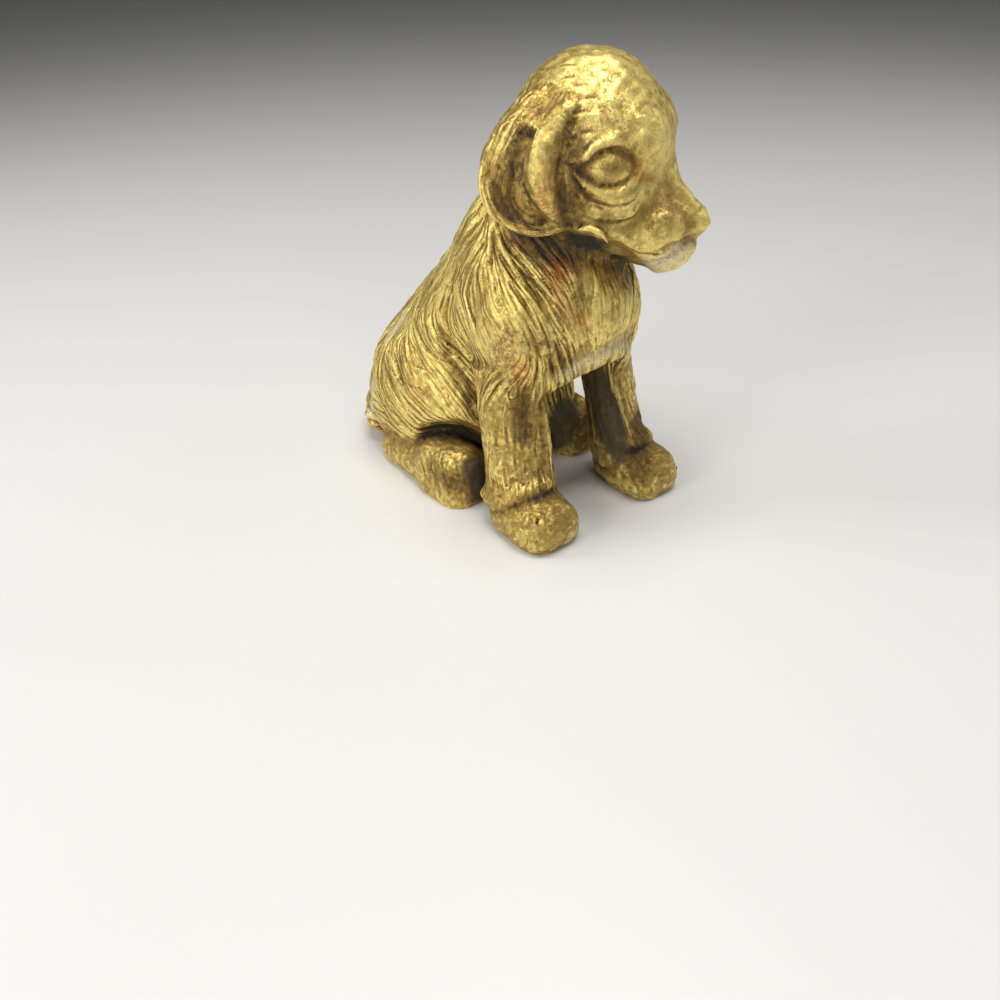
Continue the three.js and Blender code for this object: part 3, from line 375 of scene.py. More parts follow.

# Patina and painted light as cords on the skin: orange and brown stains, pale oxide and painted
# highlights, dull grey painted shade, close pitting, grime and painted shade, and black painted shade
# in creases
PAINT = dict(
    rust=[
        [(-13.6, -34.2, 92.7, 3.2), (-15.4, -37.7, 84, 1), (-10.3, -41.5, 77, 2.6)],
        [(-22.7, -38.6, 124, 1), (-22.6, -38.6, 119, 1.8), (-22.6, -38.6, 114, 1)],
        [(0, -53.4, 122, 1.8), (2, -52.8, 121, 1.2)],
        [(-27.2, -32.4, 63, 2.2), (-26, -33, 58, 1.4)],
        [(-34, 22, 42, 1.4), (-33, 14, 40, 2.2)],
        [(22, -30, 92, 2.4), (22, -32, 84, 2)],
        [(33, 24, 40, 1.6), (34, 14, 38, 2.4)],
    ],
    brown=[
        [(-29.3, -30.1, 73, 4.5), (-31, -26.5, 63, 5), (-28, -30, 56, 3)],
        [(-22.6, -36.7, 70.7, 4), (-18, -38.5, 66, 3)],
        [(-24, -20, 118, 4), (-25, -18, 108, 6), (-20, -27, 104, 5)],
        [(-22, -5, 128, 3), (-24, -6, 116, 4)],
        [(28, -30, 72, 4), (31, -22, 60, 5)],
        [(8, 50, 62, 5), (14, 56, 44, 4)],
    ],
    # Painted highlights along the chest's lower edge and on the jaw, and pale oxide on the haunch
    pale_oxide_and_highlight=[
        [(-18, -40, 58, 1), (-7, -43.6, 62.6, 1.5), (4, -44.6, 64, 1.7), (15, -39.7, 60.8, 2.6)],
        [(9.9, -52.7, 92.7, 5.5), (16, -57, 96, 4)],
        [(-30, 44, 50, 3), (-27, 40, 58, 4)],
        [(-36, 46, 30, 2.5), (-33, 55, 14, 3)],
    ],
    # Dull grey painted shade between the legs, under the chest and belly, and on the front of the near
    # hind foot
    shade_patch=[
        [(12.2, -23, 47, 6), (13.2, -28.9, 35.7, 7), (14.3, -33.6, 24.9, 7), (14.5, -38, 16, 4)],
        [(17.3, -6.3, 20, 6), (14.5, -5, 10, 7), (13, 6, 8, 8)],
        [(-31.5, -10.6, 17, 4.6), (-27, -11, 6, 6)],
        [(-12.2, -23, 47, 5), (-13.2, -28.9, 35.7, 5), (-14.3, -33.6, 22, 4)],
        [(-16, 0, 8, 5), (-14, 20, 8, 6)],
        [(0, -8, 50, 8), (0, 0, 28, 10)],
    ],
    pitted=[
        [(-11, -44, 137, 6), (2, -52, 134, 5)],
        [(-30, -44, 14, 7), (-24, -46, 14, 6)],
        [(24, -46, 14, 6), (28, -44, 14, 6)],
        [(-38, 2, 16, 6), (-38, -4, 10, 5)],
        [(-24, -8, 118, 7), (-22, -3, 128, 5)],
        [(16, -60, 108, 5), (8, -54, 108, 6)],
        [(-35, 30, 46, 6), (-36, 24, 40, 5)],
    ],
    # Grime, and painted shade under the jaw, under the near wrist's cuff and on the far foreleg
    grime_and_shade=[
        [(-20.5, -24, 101, 3), (-17, -30, 99, 4.6), (-12.5, -35.5, 97.5, 5), (-9, -39, 96.5, 3.5)],
        [(22, -24, 101, 4), (18, -32, 98, 5), (12, -38, 95, 5)],
        [(-24.8, -31.6, 53, 2), (-26, -31.6, 45, 3), (-25.4, -32.5, 38, 3)],
        [(-34, -31, 14.6, 1.6), (-31, -38, 16.4, 2.2), (-26, -42, 17.8, 1.8)],
        [(27.2, -36.2, 25.4, 4), (17, -47, 13, 5)],
        [(-36, 2, 14, 4), (-37, -6, 12, 4)],
    ],
    # Black painted shade in the crease where each haunch overhangs its hind foot
    soot_and_shade=[
        [(-37, 18.6, 20.3, 0.2), (-34.5, 12.7, 24.3, 0.8), (-29.7, 7.7, 25.5, 1.2),
         (-25.3, 3, 24.5, 1.6)],
        [(34, 18, 20, 0.2), (31, 8, 24, 1), (26, 3, 24, 1.4)],
    ],
)

# Stains and painted shade of both sides of the head, in its frame: temple, ear valley and eyeball, and
# painted shade behind the lip
HEAD_PAINT = dict(
    # Darker strips beside the ear roll, in the ear valley and across the eyeball, and painted shade
    # behind the lip
    grime_and_shade=[
        [(22, -5, 20, 1), (24.5, -4, 15.4, 2.5), (26.7, -5.2, 9.3, 3.2), (26.6, -5.6, 2.5, 3.6),
         (25.9, -3.6, -6, 3.4)],
        [(24, 11, 17.3, 0.6), (24.7, 13.8, 9.2, 1.4), (24.7, 15.7, 0.8, 2), (24.5, 14.1, -6.4, 1.4)],
        [(24.5, -11.5, 8.3, 0.6), (23.8, -13.8, 8.3, 1.7), (22.1, -16.7, 8, 1.1)],
        [(20, -1, -13, 4), (18.2, -4.5, -15, 4.6), (16.8, -7.9, -17, 4.4), (15.1, -11.7, -19.6, 3)],
    ],
    # Black painted shade behind the lip
    soot_and_shade=[
        [(19, -3, -14, 2), (17.6, -6, -15.6, 3.4), (16, -9.8, -18, 2.6)],
    ],
)
PAINT_SOFTNESS = 6

BRIGHT_GOLD = (0.95, 0.76, 0.25)
OLD_GOLD = (0.48, 0.325, 0.09)
# Brown of the dirt and of the brown painted shade
BROWN = (0.15, 0.088, 0.026)
# Black of the soot and pits, and of the black painted shade
SOOT_AND_SHADE_BLACK = (0.026, 0.020, 0.011)
RUST = (0.62, 0.12, 0.015)
CHESTNUT = (0.24, 0.11, 0.024)
# Pale of the oxide and of the painted highlights
PALE_OXIDE_AND_HIGHLIGHT = (0.80, 0.76, 0.60)
# Dull grey of the painted shade
SHADE_GREY = (0.10, 0.093, 0.056)

# How far the brass is tarnished, and how sharply worn parts stand out
FINISHES = {"brass": (0.78, 0.2), "worn_brass": (0.80, 0.2), "dark_brass": (0.80, 0.22)}

# Noises on the metal
GRAINS = dict(
    mottle=dict(Scale=520, Detail=6, Roughness=0.74, Distortion=0),
    clouds=dict(Scale=55, Detail=3, Roughness=0.55, Distortion=0),
    grain=dict(Scale=1300, Detail=3, Roughness=0.65, Distortion=0),
    worms=dict(Scale=620, Detail=4, Roughness=0.62, Distortion=0.5),
)

# Masks of the patina and of painted shade: what each figure adds, and the sums between which the mask
# grows from 0 to 1. How shut in a point is and the grime marks count as painted shade
WORN_BY = dict(clouds=0.95, mottle=0.75, hollow=-0.7, comb=-0.3, occlusion_shade=-0.5, grime_and_shade=-0.5, leg_foot_ear_darkening=-0.18)
DIRT_AND_SHADE_BY = dict(groove=0.5, comb=0.4, hollow=0.6, occlusion_shade=0.75, grime_and_shade=0.75, leg_foot_ear_darkening=0.16, mottle=1.6)
DIRT_AND_SHADE_GROWS = (0.92, 1.75)
# Soot in the cuts, with black painted shade from how shut in a point is and from the marks
SOOT_AND_SHADE_BY = dict(groove=0.45, comb=0.15, hollow=0.7, occlusion_shade=0.7, grime_and_shade=0.45, grain=0.8, mottle=0.5,
               soot_and_shade=0.7)
SOOT_AND_SHADE_GROWS = (1.25, 1.8)
BROWN_FLECKS = (0.34, 0.6)
RUST_FLECKS = (0.40, 0.58)
PALE_OXIDE_AND_HIGHLIGHT_FLECKS = (0.3, 0.6)
# The dull grey painted shade grows from its marks and is broken up by the noises
SHADE_PATCH_BY = dict(shade_patch=2, mottle=-1.6, grain=-0.4)
SHADE_PATCH_START = 0.2
SHADE_PATCH_FLECKS = (0.42, 0.66)

# Pits lie along thin winding lines and in flecks, more of them where the casting is pitted
LINE_STARTS = (0.455, 0.495)
LINE_ENDS = (0.505, 0.545)
PITTED_SHARE = 0.14
LINE_BY = dict(mottle=1, pitted=PITTED_SHARE, grain=-0.5)
LINE_GROWS = (0.21, 0.37)
FLECK_GRAIN = (0.60, 0.66)
FLECK_BY = dict(mottle=1, pitted=PITTED_SHARE)
FLECK_GROWS = (0.48, 0.60)
PITS_BY = dict(lines=0.5, flecks=0.75)

# Layers of the patina and of painted light from the metal outwards, with how much each covers: the dirt
# and soot layers also carry painted shade, the pale layer painted highlights, and the dull grey layer
# is painted shade
LAYERS = dict(dirt_and_shade=(0.9, BROWN), brown=(0.8, CHESTNUT), rust=(0.75, RUST), pale_oxide_and_highlight=(0.75, PALE_OXIDE_AND_HIGHLIGHT),
              shade_patch=(0.95, SHADE_GREY), soot_and_shade=(1, SOOT_AND_SHADE_BLACK), pits=(0.8, SOOT_AND_SHADE_BLACK))

# What makes the brass dull, rough and bumpy, besides a roughness that it has everywhere
DULL_BY = dict(soot_and_shade=0.7, dirt_and_shade=0.25, pits=0.5, shade_patch=0.5, pale_oxide_and_highlight=0.45, rust=0.3, brown=0.2)
ROUGH_START = 0.285
ROUGH_BY = dict(dirt_and_shade=0.18, soot_and_shade=0.2, worn=-0.04, shade_patch=0.2, pale_oxide_and_highlight=0.15, grain=0.35)
BUMP_BY = dict(grain=0.6, mottle=0.4, pits=-1.1)
BUMP = dict(Strength=0.8, Distance=0.0004)

# The camera, in the sculptor's frame: where it stands, how far it looks down and to the side
CAMERA_AT = (-196.5, -233.3, 191)
CAMERA_FACING = 38.5
CAMERA_DOWN = 0.5975
CAMERA_ROLL = -0.02484
CAMERA_LENS = 32.8

# Lights round the figurine: place, size, power and colour
LIGHT_AIM = (0, 0, 0.08)
LIGHTS = dict(
    above=((0, -0.1, 0.95), (0.55, 0.55), 8, (1, 0.99, 0.96)),
    front=((-0.3, -0.85, 0.55), (0.3, 0.3), 1.3, (1, 0.98, 0.94)),
    left=((-0.85, -0.05, 0.45), (0.3, 0.4), 3, (1, 0.98, 0.94)),
    right=((0.8, -0.35, 0.4), (0.3, 0.5), 1.2, (1, 1, 1)),
    behind=((-0.55, 0.45, 0.55), (0.3, 0.5), 2.5, (1, 1, 1)),
)
DAYLIGHT = (0.5, 0.5, 0.5, 1)
DAYLIGHT_STRENGTH = 0.16
FLOOR_HALF = 4
FLOOR_GREYS = ((0.66, 0.66, 0.65), (0.70, 0.70, 0.69))
FLOOR_CLOUDS = dict(Scale=3, Detail=3, Roughness=0.55, Distortion=0)
FLOOR_ROUGHNESS = 0.45

MM = 0.001


# The CAD frame: its origin lies under the middle of the box, so the sculptor's frame is found
# from the pieces that both know: the forelegs stand evenly beside x 0, and the hind feet end in
# flat toes in front.

def frame_shift():
    _, left_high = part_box("foreleg_left")
    right_low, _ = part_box("foreleg_right")
    foot_low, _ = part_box("hind_foot_left")
    back = foot_low.y - (HIND_TOES["back"] - HIND_TOES["half"][1]) * MM
    return np.array(((left_high.x + right_low.x) / 2, back, 0))


SHIFT = frame_shift()


def to_frame(points):
    """Sculptor's millimetres to the frame's metres"""
    return np.asarray(points, float) * MM + SHIFT


# Distance fields: functions of an array of points, negative inside the form

def length(q):
    return np.sqrt((q * q).sum(-1))


def turn_x(degrees):
    c, s = math.cos(math.radians(degrees)), math.sin(math.radians(degrees))
    return np.array([[1, 0, 0], [0, c, -s], [0, s, c]], np.float32)


def turn_z(degrees):
    c, s = math.cos(math.radians(degrees)), math.sin(math.radians(degrees))
    return np.array([[c, -s, 0], [s, c, 0], [0, 0, 1]], np.float32)


def ellipsoid(p, at, half, tilt=0):
    q = p - np.array(at, np.float32)
    if tilt:
        q = q @ turn_x(tilt)
    half = np.array(half, np.float32)
    reach = length(q / half)
    return reach * (reach - 1) / np.maximum(length(q / half ** 2), 1e-6)


def block(p, at, half, rounding):
    """A box with rounded edges"""
    q = np.abs(p - np.array(at, np.float32)) - (np.array(half, np.float32) - rounding)
    return length(np.maximum(q, 0)) + np.minimum(q.max(1), 0) - rounding


def limb(p, start, end):
    """A tapering limb between two balls"""
    at = np.array(start["at"], np.float32)
    run = np.array(end["at"], np.float32) - at
    reach = float(np.linalg.norm(run))
    taper = start["radius"] - end["radius"]
    slant = math.sqrt(reach ** 2 - taper ** 2)
    q = p - at
    along = q @ (run / reach)
    off = np.sqrt(np.maximum((q * q).sum(-1) - along ** 2, 0))
    foot = np.clip((along + off * taper / slant) / reach, 0, 1)
    return np.hypot(off, along - foot * reach) - (start["radius"] - foot * taper)


def smooth_path(points, per_span=4):
    """Catmull-Rom points through the given ones, whose radii run along"""
    p = np.asarray(points, float)
    p = np.vstack([2 * p[0] - p[1], p, 2 * p[-1] - p[-2]])
    path = []
    for a, b, c, d in zip(p[:-3], p[1:-2], p[2:-1], p[3:]):
        for t in np.linspace(0, 1, per_span, endpoint=False):
            path.append(0.5 * (2 * b + (c - a) * t + (2 * a - 5 * b + 4 * c - d) * t ** 2
                               + (3 * b - a - 3 * c + d) * t ** 3))
    return np.vstack([path, p[-2]])


def cord(p, path):
    """A cord of changing radius along a smooth path. Points well away from it count as far."""
    line = smooth_path(path).astype(np.float32)
    distance = np.full(len(p), FAR, np.float32)
    low, high = line[:, :3].min(0) - CORD_REACH, line[:, :3].max(0) + CORD_REACH
    close = np.flatnonzero(((p > low) & (p < high)).all(1))
    if not len(close):
        return distance
    q = p[close]
    least = np.full(len(close), FAR, np.float32)
    for a, b in zip(line[:-1], line[1:]):
        run = b[:3] - a[:3]
        t = np.clip(((q - a[:3]) @ run) / max(float(run @ run), 1e-6), 0, 1)
        least = np.minimum(least, length(q - a[:3] - t[:, None] * run) - (a[3] + (b[3] - a[3]) * t))
    distance[close] = least
    return distance


def blend(a, b, softness):
    near = np.maximum(softness - np.abs(a - b), 0) / softness
    return np.minimum(a, b) - near ** 2 * softness / 4


def carve(a, b, softness):
    return -blend(-a, b, softness)


def shared(a, b, softness):
    return -blend(-a, -b, softness)


def mirrored(p):
    q = p.copy()
    q[:, 0] = np.abs(q[:, 0])
    return q


def gradient(field, points):
    step = 0.2
    base = field(points.astype(np.float32))
    slope = [field((points + np.eye(3)[axis] * step).astype(np.float32)) - base for axis in range(3)]
    slope = np.stack(slope, 1) / step
    return base, slope / np.maximum(length(slope), 1e-6)[:, None]


HEAD_AT = np.array(HEAD_MIDDLE, np.float32)
HEAD_ROTATION = turn_z(HEAD_TURN)


def in_head(p):
    """Points in the head's own frame"""
    return (p - HEAD_AT) @ HEAD_ROTATION


def from_head(q):
    """Points of the head's own frame in the sculptor's"""
    return q @ HEAD_ROTATION.T + HEAD_AT


# The figure's masses

def trunk(p):
    m = mirrored(p)
    form = limb(p, RUMP, WITHERS)
    for mass in (CHEST, SEAT, RIGHT_HAUNCH, LEFT_HAUNCH):
        form = blend(form, ellipsoid(p, **mass), SOFT)
    form = blend(form, ellipsoid(m, **SHOULDER), SOFT)
    form = blend(form, limb(p, NECK_BASE, NECK_TOP), SOFT)
    for hollow in (UNDER_CHEST, UNDER_RIGHT_HAUNCH, UNDER_LEFT_HAUNCH):
        form = carve(form, ellipsoid(p, **hollow), FIRM)
    form = carve(form, cord(p, CHEST_VALLEY), FIRM)
    form = carve(form, cord(m, FLANK_CREASE), FIRM)
    return blend(form, cord(m, CHEST_EDGE), FIRM)


def foreleg(p):
    m = mirrored(p)
    top, wrist = np.array(LEG_TOP, np.float32), np.array(WRIST, np.float32)
    share = (m[:, 2] - wrist[2]) / (top[2] - wrist[2])
    q = (m - wrist - (top - wrist) * share[:, None]) @ turn_z(LEG_TURN)
    flare = 1 + CUFF_FLARE * np.clip(1 - share / CUFF_SHARE, 0, 1)
    reach = np.hypot(q[:, 0] / LEG_HALF_WIDTH, q[:, 1] / LEG_HALF_DEPTH) / flare
    column = (reach - 1) * (LEG_HALF_WIDTH + LEG_HALF_DEPTH) / 2
    column = np.maximum(column, np.maximum(m[:, 2] - top[2], wrist[2] - SOFT / 2 - m[:, 2]))
    column = blend(column, cord(m, PARTING_RIDGE), FIRM / 2)
    column = blend(column, cord(m, CUFF), FIRM)
    paw = blend(ellipsoid(m, **PAW), ellipsoid(m, **PAW_HEEL), FIRM)
    for toe in TOES:
        paw = blend(paw, ellipsoid(m, **toe), FIRM)
    paw = carve(paw, cord(m, TOE_CLEFT), FINE_CUT)
    return blend(column, paw, CRISP / 2)


def hind_foot(p, across):
    heel = dict(at=(across, HEEL_BACK, HEEL_UP), radius=HEEL_RADIUS)
    instep = dict(at=(across, INSTEP_BACK, INSTEP_UP), radius=INSTEP_RADIUS)
    toes_at = (across, HIND_TOES["back"], HIND_TOES["up"])
    toes = block(p, toes_at, HIND_TOES["half"], HIND_TOES["rounding"])
    return blend(limb(p, heel, instep), toes, FIRM)


def hind_feet(p):
    return np.minimum(hind_foot(p, RIGHT_FOOT_ACROSS), hind_foot(p, LEFT_FOOT_ACROSS))


def laid(path, field, depth):
    """The path's points moved along the field's slope to the given depth under its surface"""
    points = np.array(path, float)
    for _ in range(12):
        value, slope = gradient(field, points)
        points -= slope * (value + depth)[:, None]
    return points


LAID_TAIL = np.column_stack([laid(TAIL_PATH, trunk, TAIL_SINK), TAIL_RADII])


def tail(p):
    return cord(p, LAID_TAIL)


def eye_axes():
    out = np.array(EYE_OUT) / np.linalg.norm(EYE_OUT)
    back = np.array([-out[1], out[0], 0]) / math.hypot(out[0], out[1])
    return np.stack([out, back, np.cross(out, back)]).astype(np.float32)


EYE_AXES = eye_axes()


def with_eye(form, m):
    q = (m - np.array(EYE_AT, np.float32)) @ EYE_AXES.T
    form = carve(form, ellipsoid(q, **SOCKET), LID_SOFT)
    form = blend(form, ellipsoid(q, **EYEBALL), EYEBALL_SOFT)
    form = blend(form, cord(q, UPPER_LID), LID_SOFT)
    form = blend(form, cord(q, LOWER_LID), LOWER_LID_SOFT)
    return blend(form, cord(q, EYE_BAG), BAG_SOFT)


def nose(m):
    """A wedge between four filed planes through its tip"""
    q = m - np.array(NOSE_TIP, np.float32)
    slopes = (NOSE_TOP_SLOPE, NOSE_SIDE_TURN, NOSE_UNDER_SLOPE)
    top, side, under = (math.radians(slope) for slope in slopes)
    above = q[:, 2] * math.cos(top) - q[:, 1] * math.sin(top)
    beside = q[:, 0] * math.cos(side) - q[:, 1] * math.sin(side)
    below = -q[:, 2] * math.cos(under) - q[:, 1] * math.sin(under)
    wedge = shared(shared(above, beside, NOSE_SOFT), below, NOSE_SOFT)
    return shared(wedge, ellipsoid(m, **NOSE_ROOT), NOSE_SOFT)


def head(q):
    """The head without its ears, from points in its own frame"""
    m = mirrored(q)
    form = ellipsoid(q, **SKULL)
    for mass in (BROW, CHEEK, NAPE_SIDE):
        form = blend(form, ellipsoid(m, **mass), FIRM)
    muzzle = blend(limb(q, MUZZLE_ROOT, NOSE), limb(q, STOP, NOSE_TOP), FIRM)
    muzzle = blend(muzzle, ellipsoid(m, **LIP), FIRM)
    muzzle = blend(muzzle, nose(m), NOSE_SOFT)
    form = blend(form, muzzle, MUZZLE_SOFT)
    form = blend(form, ellipsoid(q, **JAW), CRISP)
    form = carve(form, cord(m, MOUTH), FOLD_SOFT)
    form = carve(form, cord(m, CHEEK_FOLD), FIRM)
    form = carve(form, ellipsoid(m, **POCKET), FINE_CUT)
    form = blend(form, cord(m, POCKET_RIM), FINE_CUT)
    return with_eye(form, m)


def ear(q):
    m = mirrored(q)
    form = blend(ellipsoid(m, **EAR_LEAF), ellipsoid(m, **EAR_ROOT), SOFT)
    form = blend(form, cord(m, EAR_ROLL), FIRM)
    form = blend(form, cord(m, EAR_RIM), RIM_SOFT)
    return carve(form, cord(m, EAR_VALLEY), FIRM)


def lower_body(p):
    form = blend(trunk(p), foreleg(p), FIRM)
    form = blend(form, hind_feet(p), FOLD_SOFT)
    return blend(form, tail(p), FOLD_SOFT)


def figure(p):
    form = lower_body(p)
    close = length(p - HEAD_AT) < HEAD_REACH
    q = in_head(p[close])
    form[close] = blend(form[close], head(q), FIRM)
    form[close] = carve(form[close], cord(mirrored(q), THROAT_GROOVE), FIRM)
    form[close] = blend(form[close], ear(q), CRISP)
    return np.maximum(form, -p[:, 2])


# Meshing: a narrow band of fine nodes round the surface, one vertex in each crossed cell

def sampled(field, low, step, counts, coarse=4):
    """The field on a fine grid, worked out only near the surface"""
    low = np.asarray(low, float)
    wide = step * coarse
    axes = [np.arange(n) * wide + a + wide / 2 for n, a in zip(counts, low)]
    middles = np.stack(np.meshgrid(*axes, indexing="ij"), -1).reshape(-1, 3).astype(np.float32)
    rough = field(middles).reshape(counts)
    fine = np.where(rough > 0, FAR, -FAR).astype(np.float32)
    for axis in range(3):
        fine = np.repeat(fine, coarse, axis)
    blocks = np.argwhere(np.abs(rough) < wide * BLOCK_REACH)
    offsets = np.stack(np.meshgrid(*[np.arange(coarse)] * 3, indexing="ij"), -1).reshape(-1, 3)
    nodes = (blocks[:, None] * coarse + offsets).reshape(-1, 3)
    for start in range(0, len(nodes), NODES_AT_ONCE):
        part = nodes[start:start + NODES_AT_ONCE]
        fine[tuple(part.T)] = field((part * step + low).astype(np.float32))
    return fine


def surface_net(value, low, step):
    """Points and quads of the surface where value changes sign"""
    inside = value < 0
    size = np.array(value.shape) - 1
    corners = [(i, j, k) for i in (0, 1) for j in (0, 1) for k in (0, 1)]

    def shifted(array, corner):
        return array[tuple(slice(c, c + n) for c, n in zip(corner, size))]

    filled = sum(shifted(inside, corner).astype(np.int8) for corner in corners)
    crossed = (filled > 0) & (filled < 8)
    cells = np.argwhere(crossed)
    index = np.full(crossed.shape, -1, np.int64)
    index[crossed] = np.arange(len(cells))
    total, count = np.zeros((len(cells), 3)), np.zeros(len(cells))
    for corner in corners:
        for axis in range(3):
            if corner[axis]:
                continue
            other = list(corner)
            other[axis] = 1
            a = value[tuple((cells + corner).T)]
            b = value[tuple((cells + other).T)]
            cut = (a < 0) != (b < 0)
            share = np.where(cut, a / np.where(cut, a - b, 1), 0)
            place = np.array(corner, float) + np.eye(3)[axis] * share[:, None]
            total[cut] += place[cut]
            count[cut] += 1
    points = (cells + total / count[:, None]) * step + low
    quads = []
    for axis in range(3):
        e, f = (axis + 1) % 3, (axis + 2) % 3
        here = [slice(1, n) for n in size]
        there = [slice(1, n) for n in size]
        here[axis], there[axis] = slice(0, size[axis]), slice(1, size[axis] + 1)
        a, b = inside[tuple(here)], inside[tuple(there)]
        for outward in (True, False):
            nodes = np.argwhere((a & ~b) if outward else (~a & b))
            nodes[:, e] += 1
            nodes[:, f] += 1
            ring = []
            for de, df in ((-1, -1), (0, -1), (0, 0), (-1, 0)):
                cell = nodes.copy()
                cell[:, e] += de
                cell[:, f] += df
                ring.append(index[tuple(cell.T)])
            quad = np.stack(ring, 1)
            quads.append(quad if outward else quad[:, ::-1])
    return points, np.vstack(quads)


def normals_of(points, quads):
    a, b, c, d = (points[quads[:, n]] for n in range(4))
    faces = np.cross(c - a, d - b)
    total = np.stack([np.bincount(quads.ravel(), np.repeat(faces[:, axis], 4), len(points))
                      for axis in range(3)], 1)
    return total / np.maximum(length(total), 1e-12)[:, None]


def settled(field, points, quads, passes=3):
    """Points moved along their normals onto the surface of the field"""
    normals = normals_of(points, quads)
    points = points.copy()
    ahead = 0.1
    for _ in range(passes):
        here = field(points.astype(np.float32))
        there = field((points + normals * ahead).astype(np.float32))
        slope = np.maximum((there - here) / ahead, LEAST_SLOPE)
        points -= normals * np.clip(here / slope, -SKIN_STEP / 2, SKIN_STEP / 2)[:, None]
    points[:, 2] = np.maximum(points[:, 2], 0)
    return points


def divided(quads, count):
    """Each quad in four: the ends of the edges, whose middles become points, and the new quads"""
    edges = np.stack([quads, np.roll(quads, -1, 1)], -1).reshape(-1, 2)
    key = np.sort(edges, 1)
    unique, which = np.unique(key[:, 0] * count + key[:, 1], return_inverse=True)
    ends = np.stack([unique // count, unique % count], 1)
    edge_of = which.reshape(-1, 4) + count
    centre_of = np.arange(len(quads)) + count + len(ends)
    parts = [np.stack([quads[:, n], edge_of[:, n], centre_of, edge_of[:, n - 1]], 1) for n in range(4)]
    return ends, np.vstack(parts)


class Skin:
    """The sculpted surface, and its first net, on which slowly changing figures are worked out"""

    def __init__(self):
        low, high = np.array(SKIN_LOW, float), np.array(SKIN_HIGH, float)
        counts = np.ceil((high - low) / (SKIN_STEP * 4)).astype(int)
        points, quads = surface_net(sampled(figure, low, SKIN_STEP, counts), low, SKIN_STEP)
        self.coarse = settled(figure, points, quads)
        self.coarse_quads = quads
        self.coarse_normals = normals_of(self.coarse, quads)
        self.ends, self.quads = divided(quads, len(points))
        self.points = settled(figure, self.spread(self.coarse), self.quads, 2)
        self.normals = normals_of(self.points, self.quads)

    def spread(self, values):
        """Values of the first net's points for all points"""
        return np.concatenate([values, values[self.ends].mean(1), values[self.coarse_quads].mean(1)])


# Fur: a combed relief, and chased grooves between its strands

def guide_segments():
    """Middle and direction of every guide stretch in the sculptor's frame, for both sides"""
    lines = []
    for side in SIDES:
        lines += [smooth_path(np.array(path) * side, 3) for path in COAT_GUIDES]
        lines += [from_head(smooth_path(np.array(path) * side, 3)) for path in HEAD_GUIDES]
    middles = np.vstack([(line[1:] + line[:-1]) / 2 for line in lines])
    runs = np.vstack([line[1:] - line[:-1] for line in lines])
    return middles, runs / length(runs)[:, None]


GUIDE_MIDDLES, GUIDE_RUNS = guide_segments()


def fur_direction(points, normals):
    """Along the surface, after the nearest guides"""
    flow = np.zeros_like(points)
    for start in range(0, len(points), POINTS_AT_ONCE):
        p = points[start:start + POINTS_AT_ONCE]
        gap = (p ** 2).sum(1)[:, None] + (GUIDE_MIDDLES ** 2).sum(1) - 2 * p @ GUIDE_MIDDLES.T
        flow[start:start + POINTS_AT_ONCE] = (1 / (gap + GUIDE_SPREAD) ** 2) @ GUIDE_RUNS
    flow -= (flow * normals).sum(1)[:, None] * normals
    return flow / np.maximum(length(flow), 1e-9)[:, None]


def ramp(value, zero_at, one_at):
    """0 at one measure, 1 at the other, smooth in between"""
    share = np.clip((value - zero_at) / (one_at - zero_at), 0, 1)
    return share * share * (3 - 2 * share)


def furry(points):
    """How furry, how near an ear, and how rough-cast each point is, from 0 to 1"""
    p = points.astype(np.float32)
    q = in_head(p)
    m = mirrored(q)
    off_ear = ramp(ear(q), *OFF_EAR)
    on_head = ramp(head(q), *ON_HEAD) * off_ear
    roll = ramp(cord(m, EAR_ROLL), *ON_ROLL)
    face = on_head * ramp(m[:, 1], *FACE_BACK)
    crown = on_head * ramp(m[:, 2], *CROWN_UP) * ramp(m[:, 1], *CROWN_BACK)
    paws = ramp(p[:, 2], *PAW_UP) * ramp(p[:, 1], *PAW_BACK)
    feet = ramp(hind_feet(p), *ON_LIMB)
    under = ramp(p[:, 2], *UNDERSIDE)
    legs = ramp(foreleg(p), *ON_LIMB) * ramp(p[:, 2], *LEG_UP)
    rough = np.max([legs, ramp(hind_feet(p), *AROUND_FOOT), BODY_ROUGH * (1 - under)], 0)
    bare = np.max([face, crown, roll, paws, feet, under], 0)
    return 1 - bare, 1 - off_ear, rough * (1 - FACE_SMOOTH * face)


def coat_of(skin):
    """The coat's figures at every point: spacing, reach, cut, relief, width, chips and darkening"""
    p = skin.coarse.astype(np.float32)
    m = mirrored(p)
    depth, on_ear, rough = furry(p)
    coat = {key: np.full(len(p), float(value)) for key, value in COAT.items()}
    for patch in COAT_PATCHES:
        inside = ramp(ellipsoid(m, patch["at"], patch["half"]), *PATCH_EDGE)
        for key in coat:
            coat[key] += (patch[key] - coat[key]) * inside
    for key, value in EAR_COAT.items():
        coat[key] += (value - coat[key]) * on_ear
    coat["cut"] *= depth
    coat["relief"] *= depth
    coat["chips"] = rough
    # Darker on the legs, the hind feet and the ears
    coat["leg_foot_ear_darkening"] = np.maximum(rough * ramp(rough, *DARKENING_FROM), on_ear * EAR_DARKENING)
    return {key: skin.spread(values) for key, values in coat.items()}


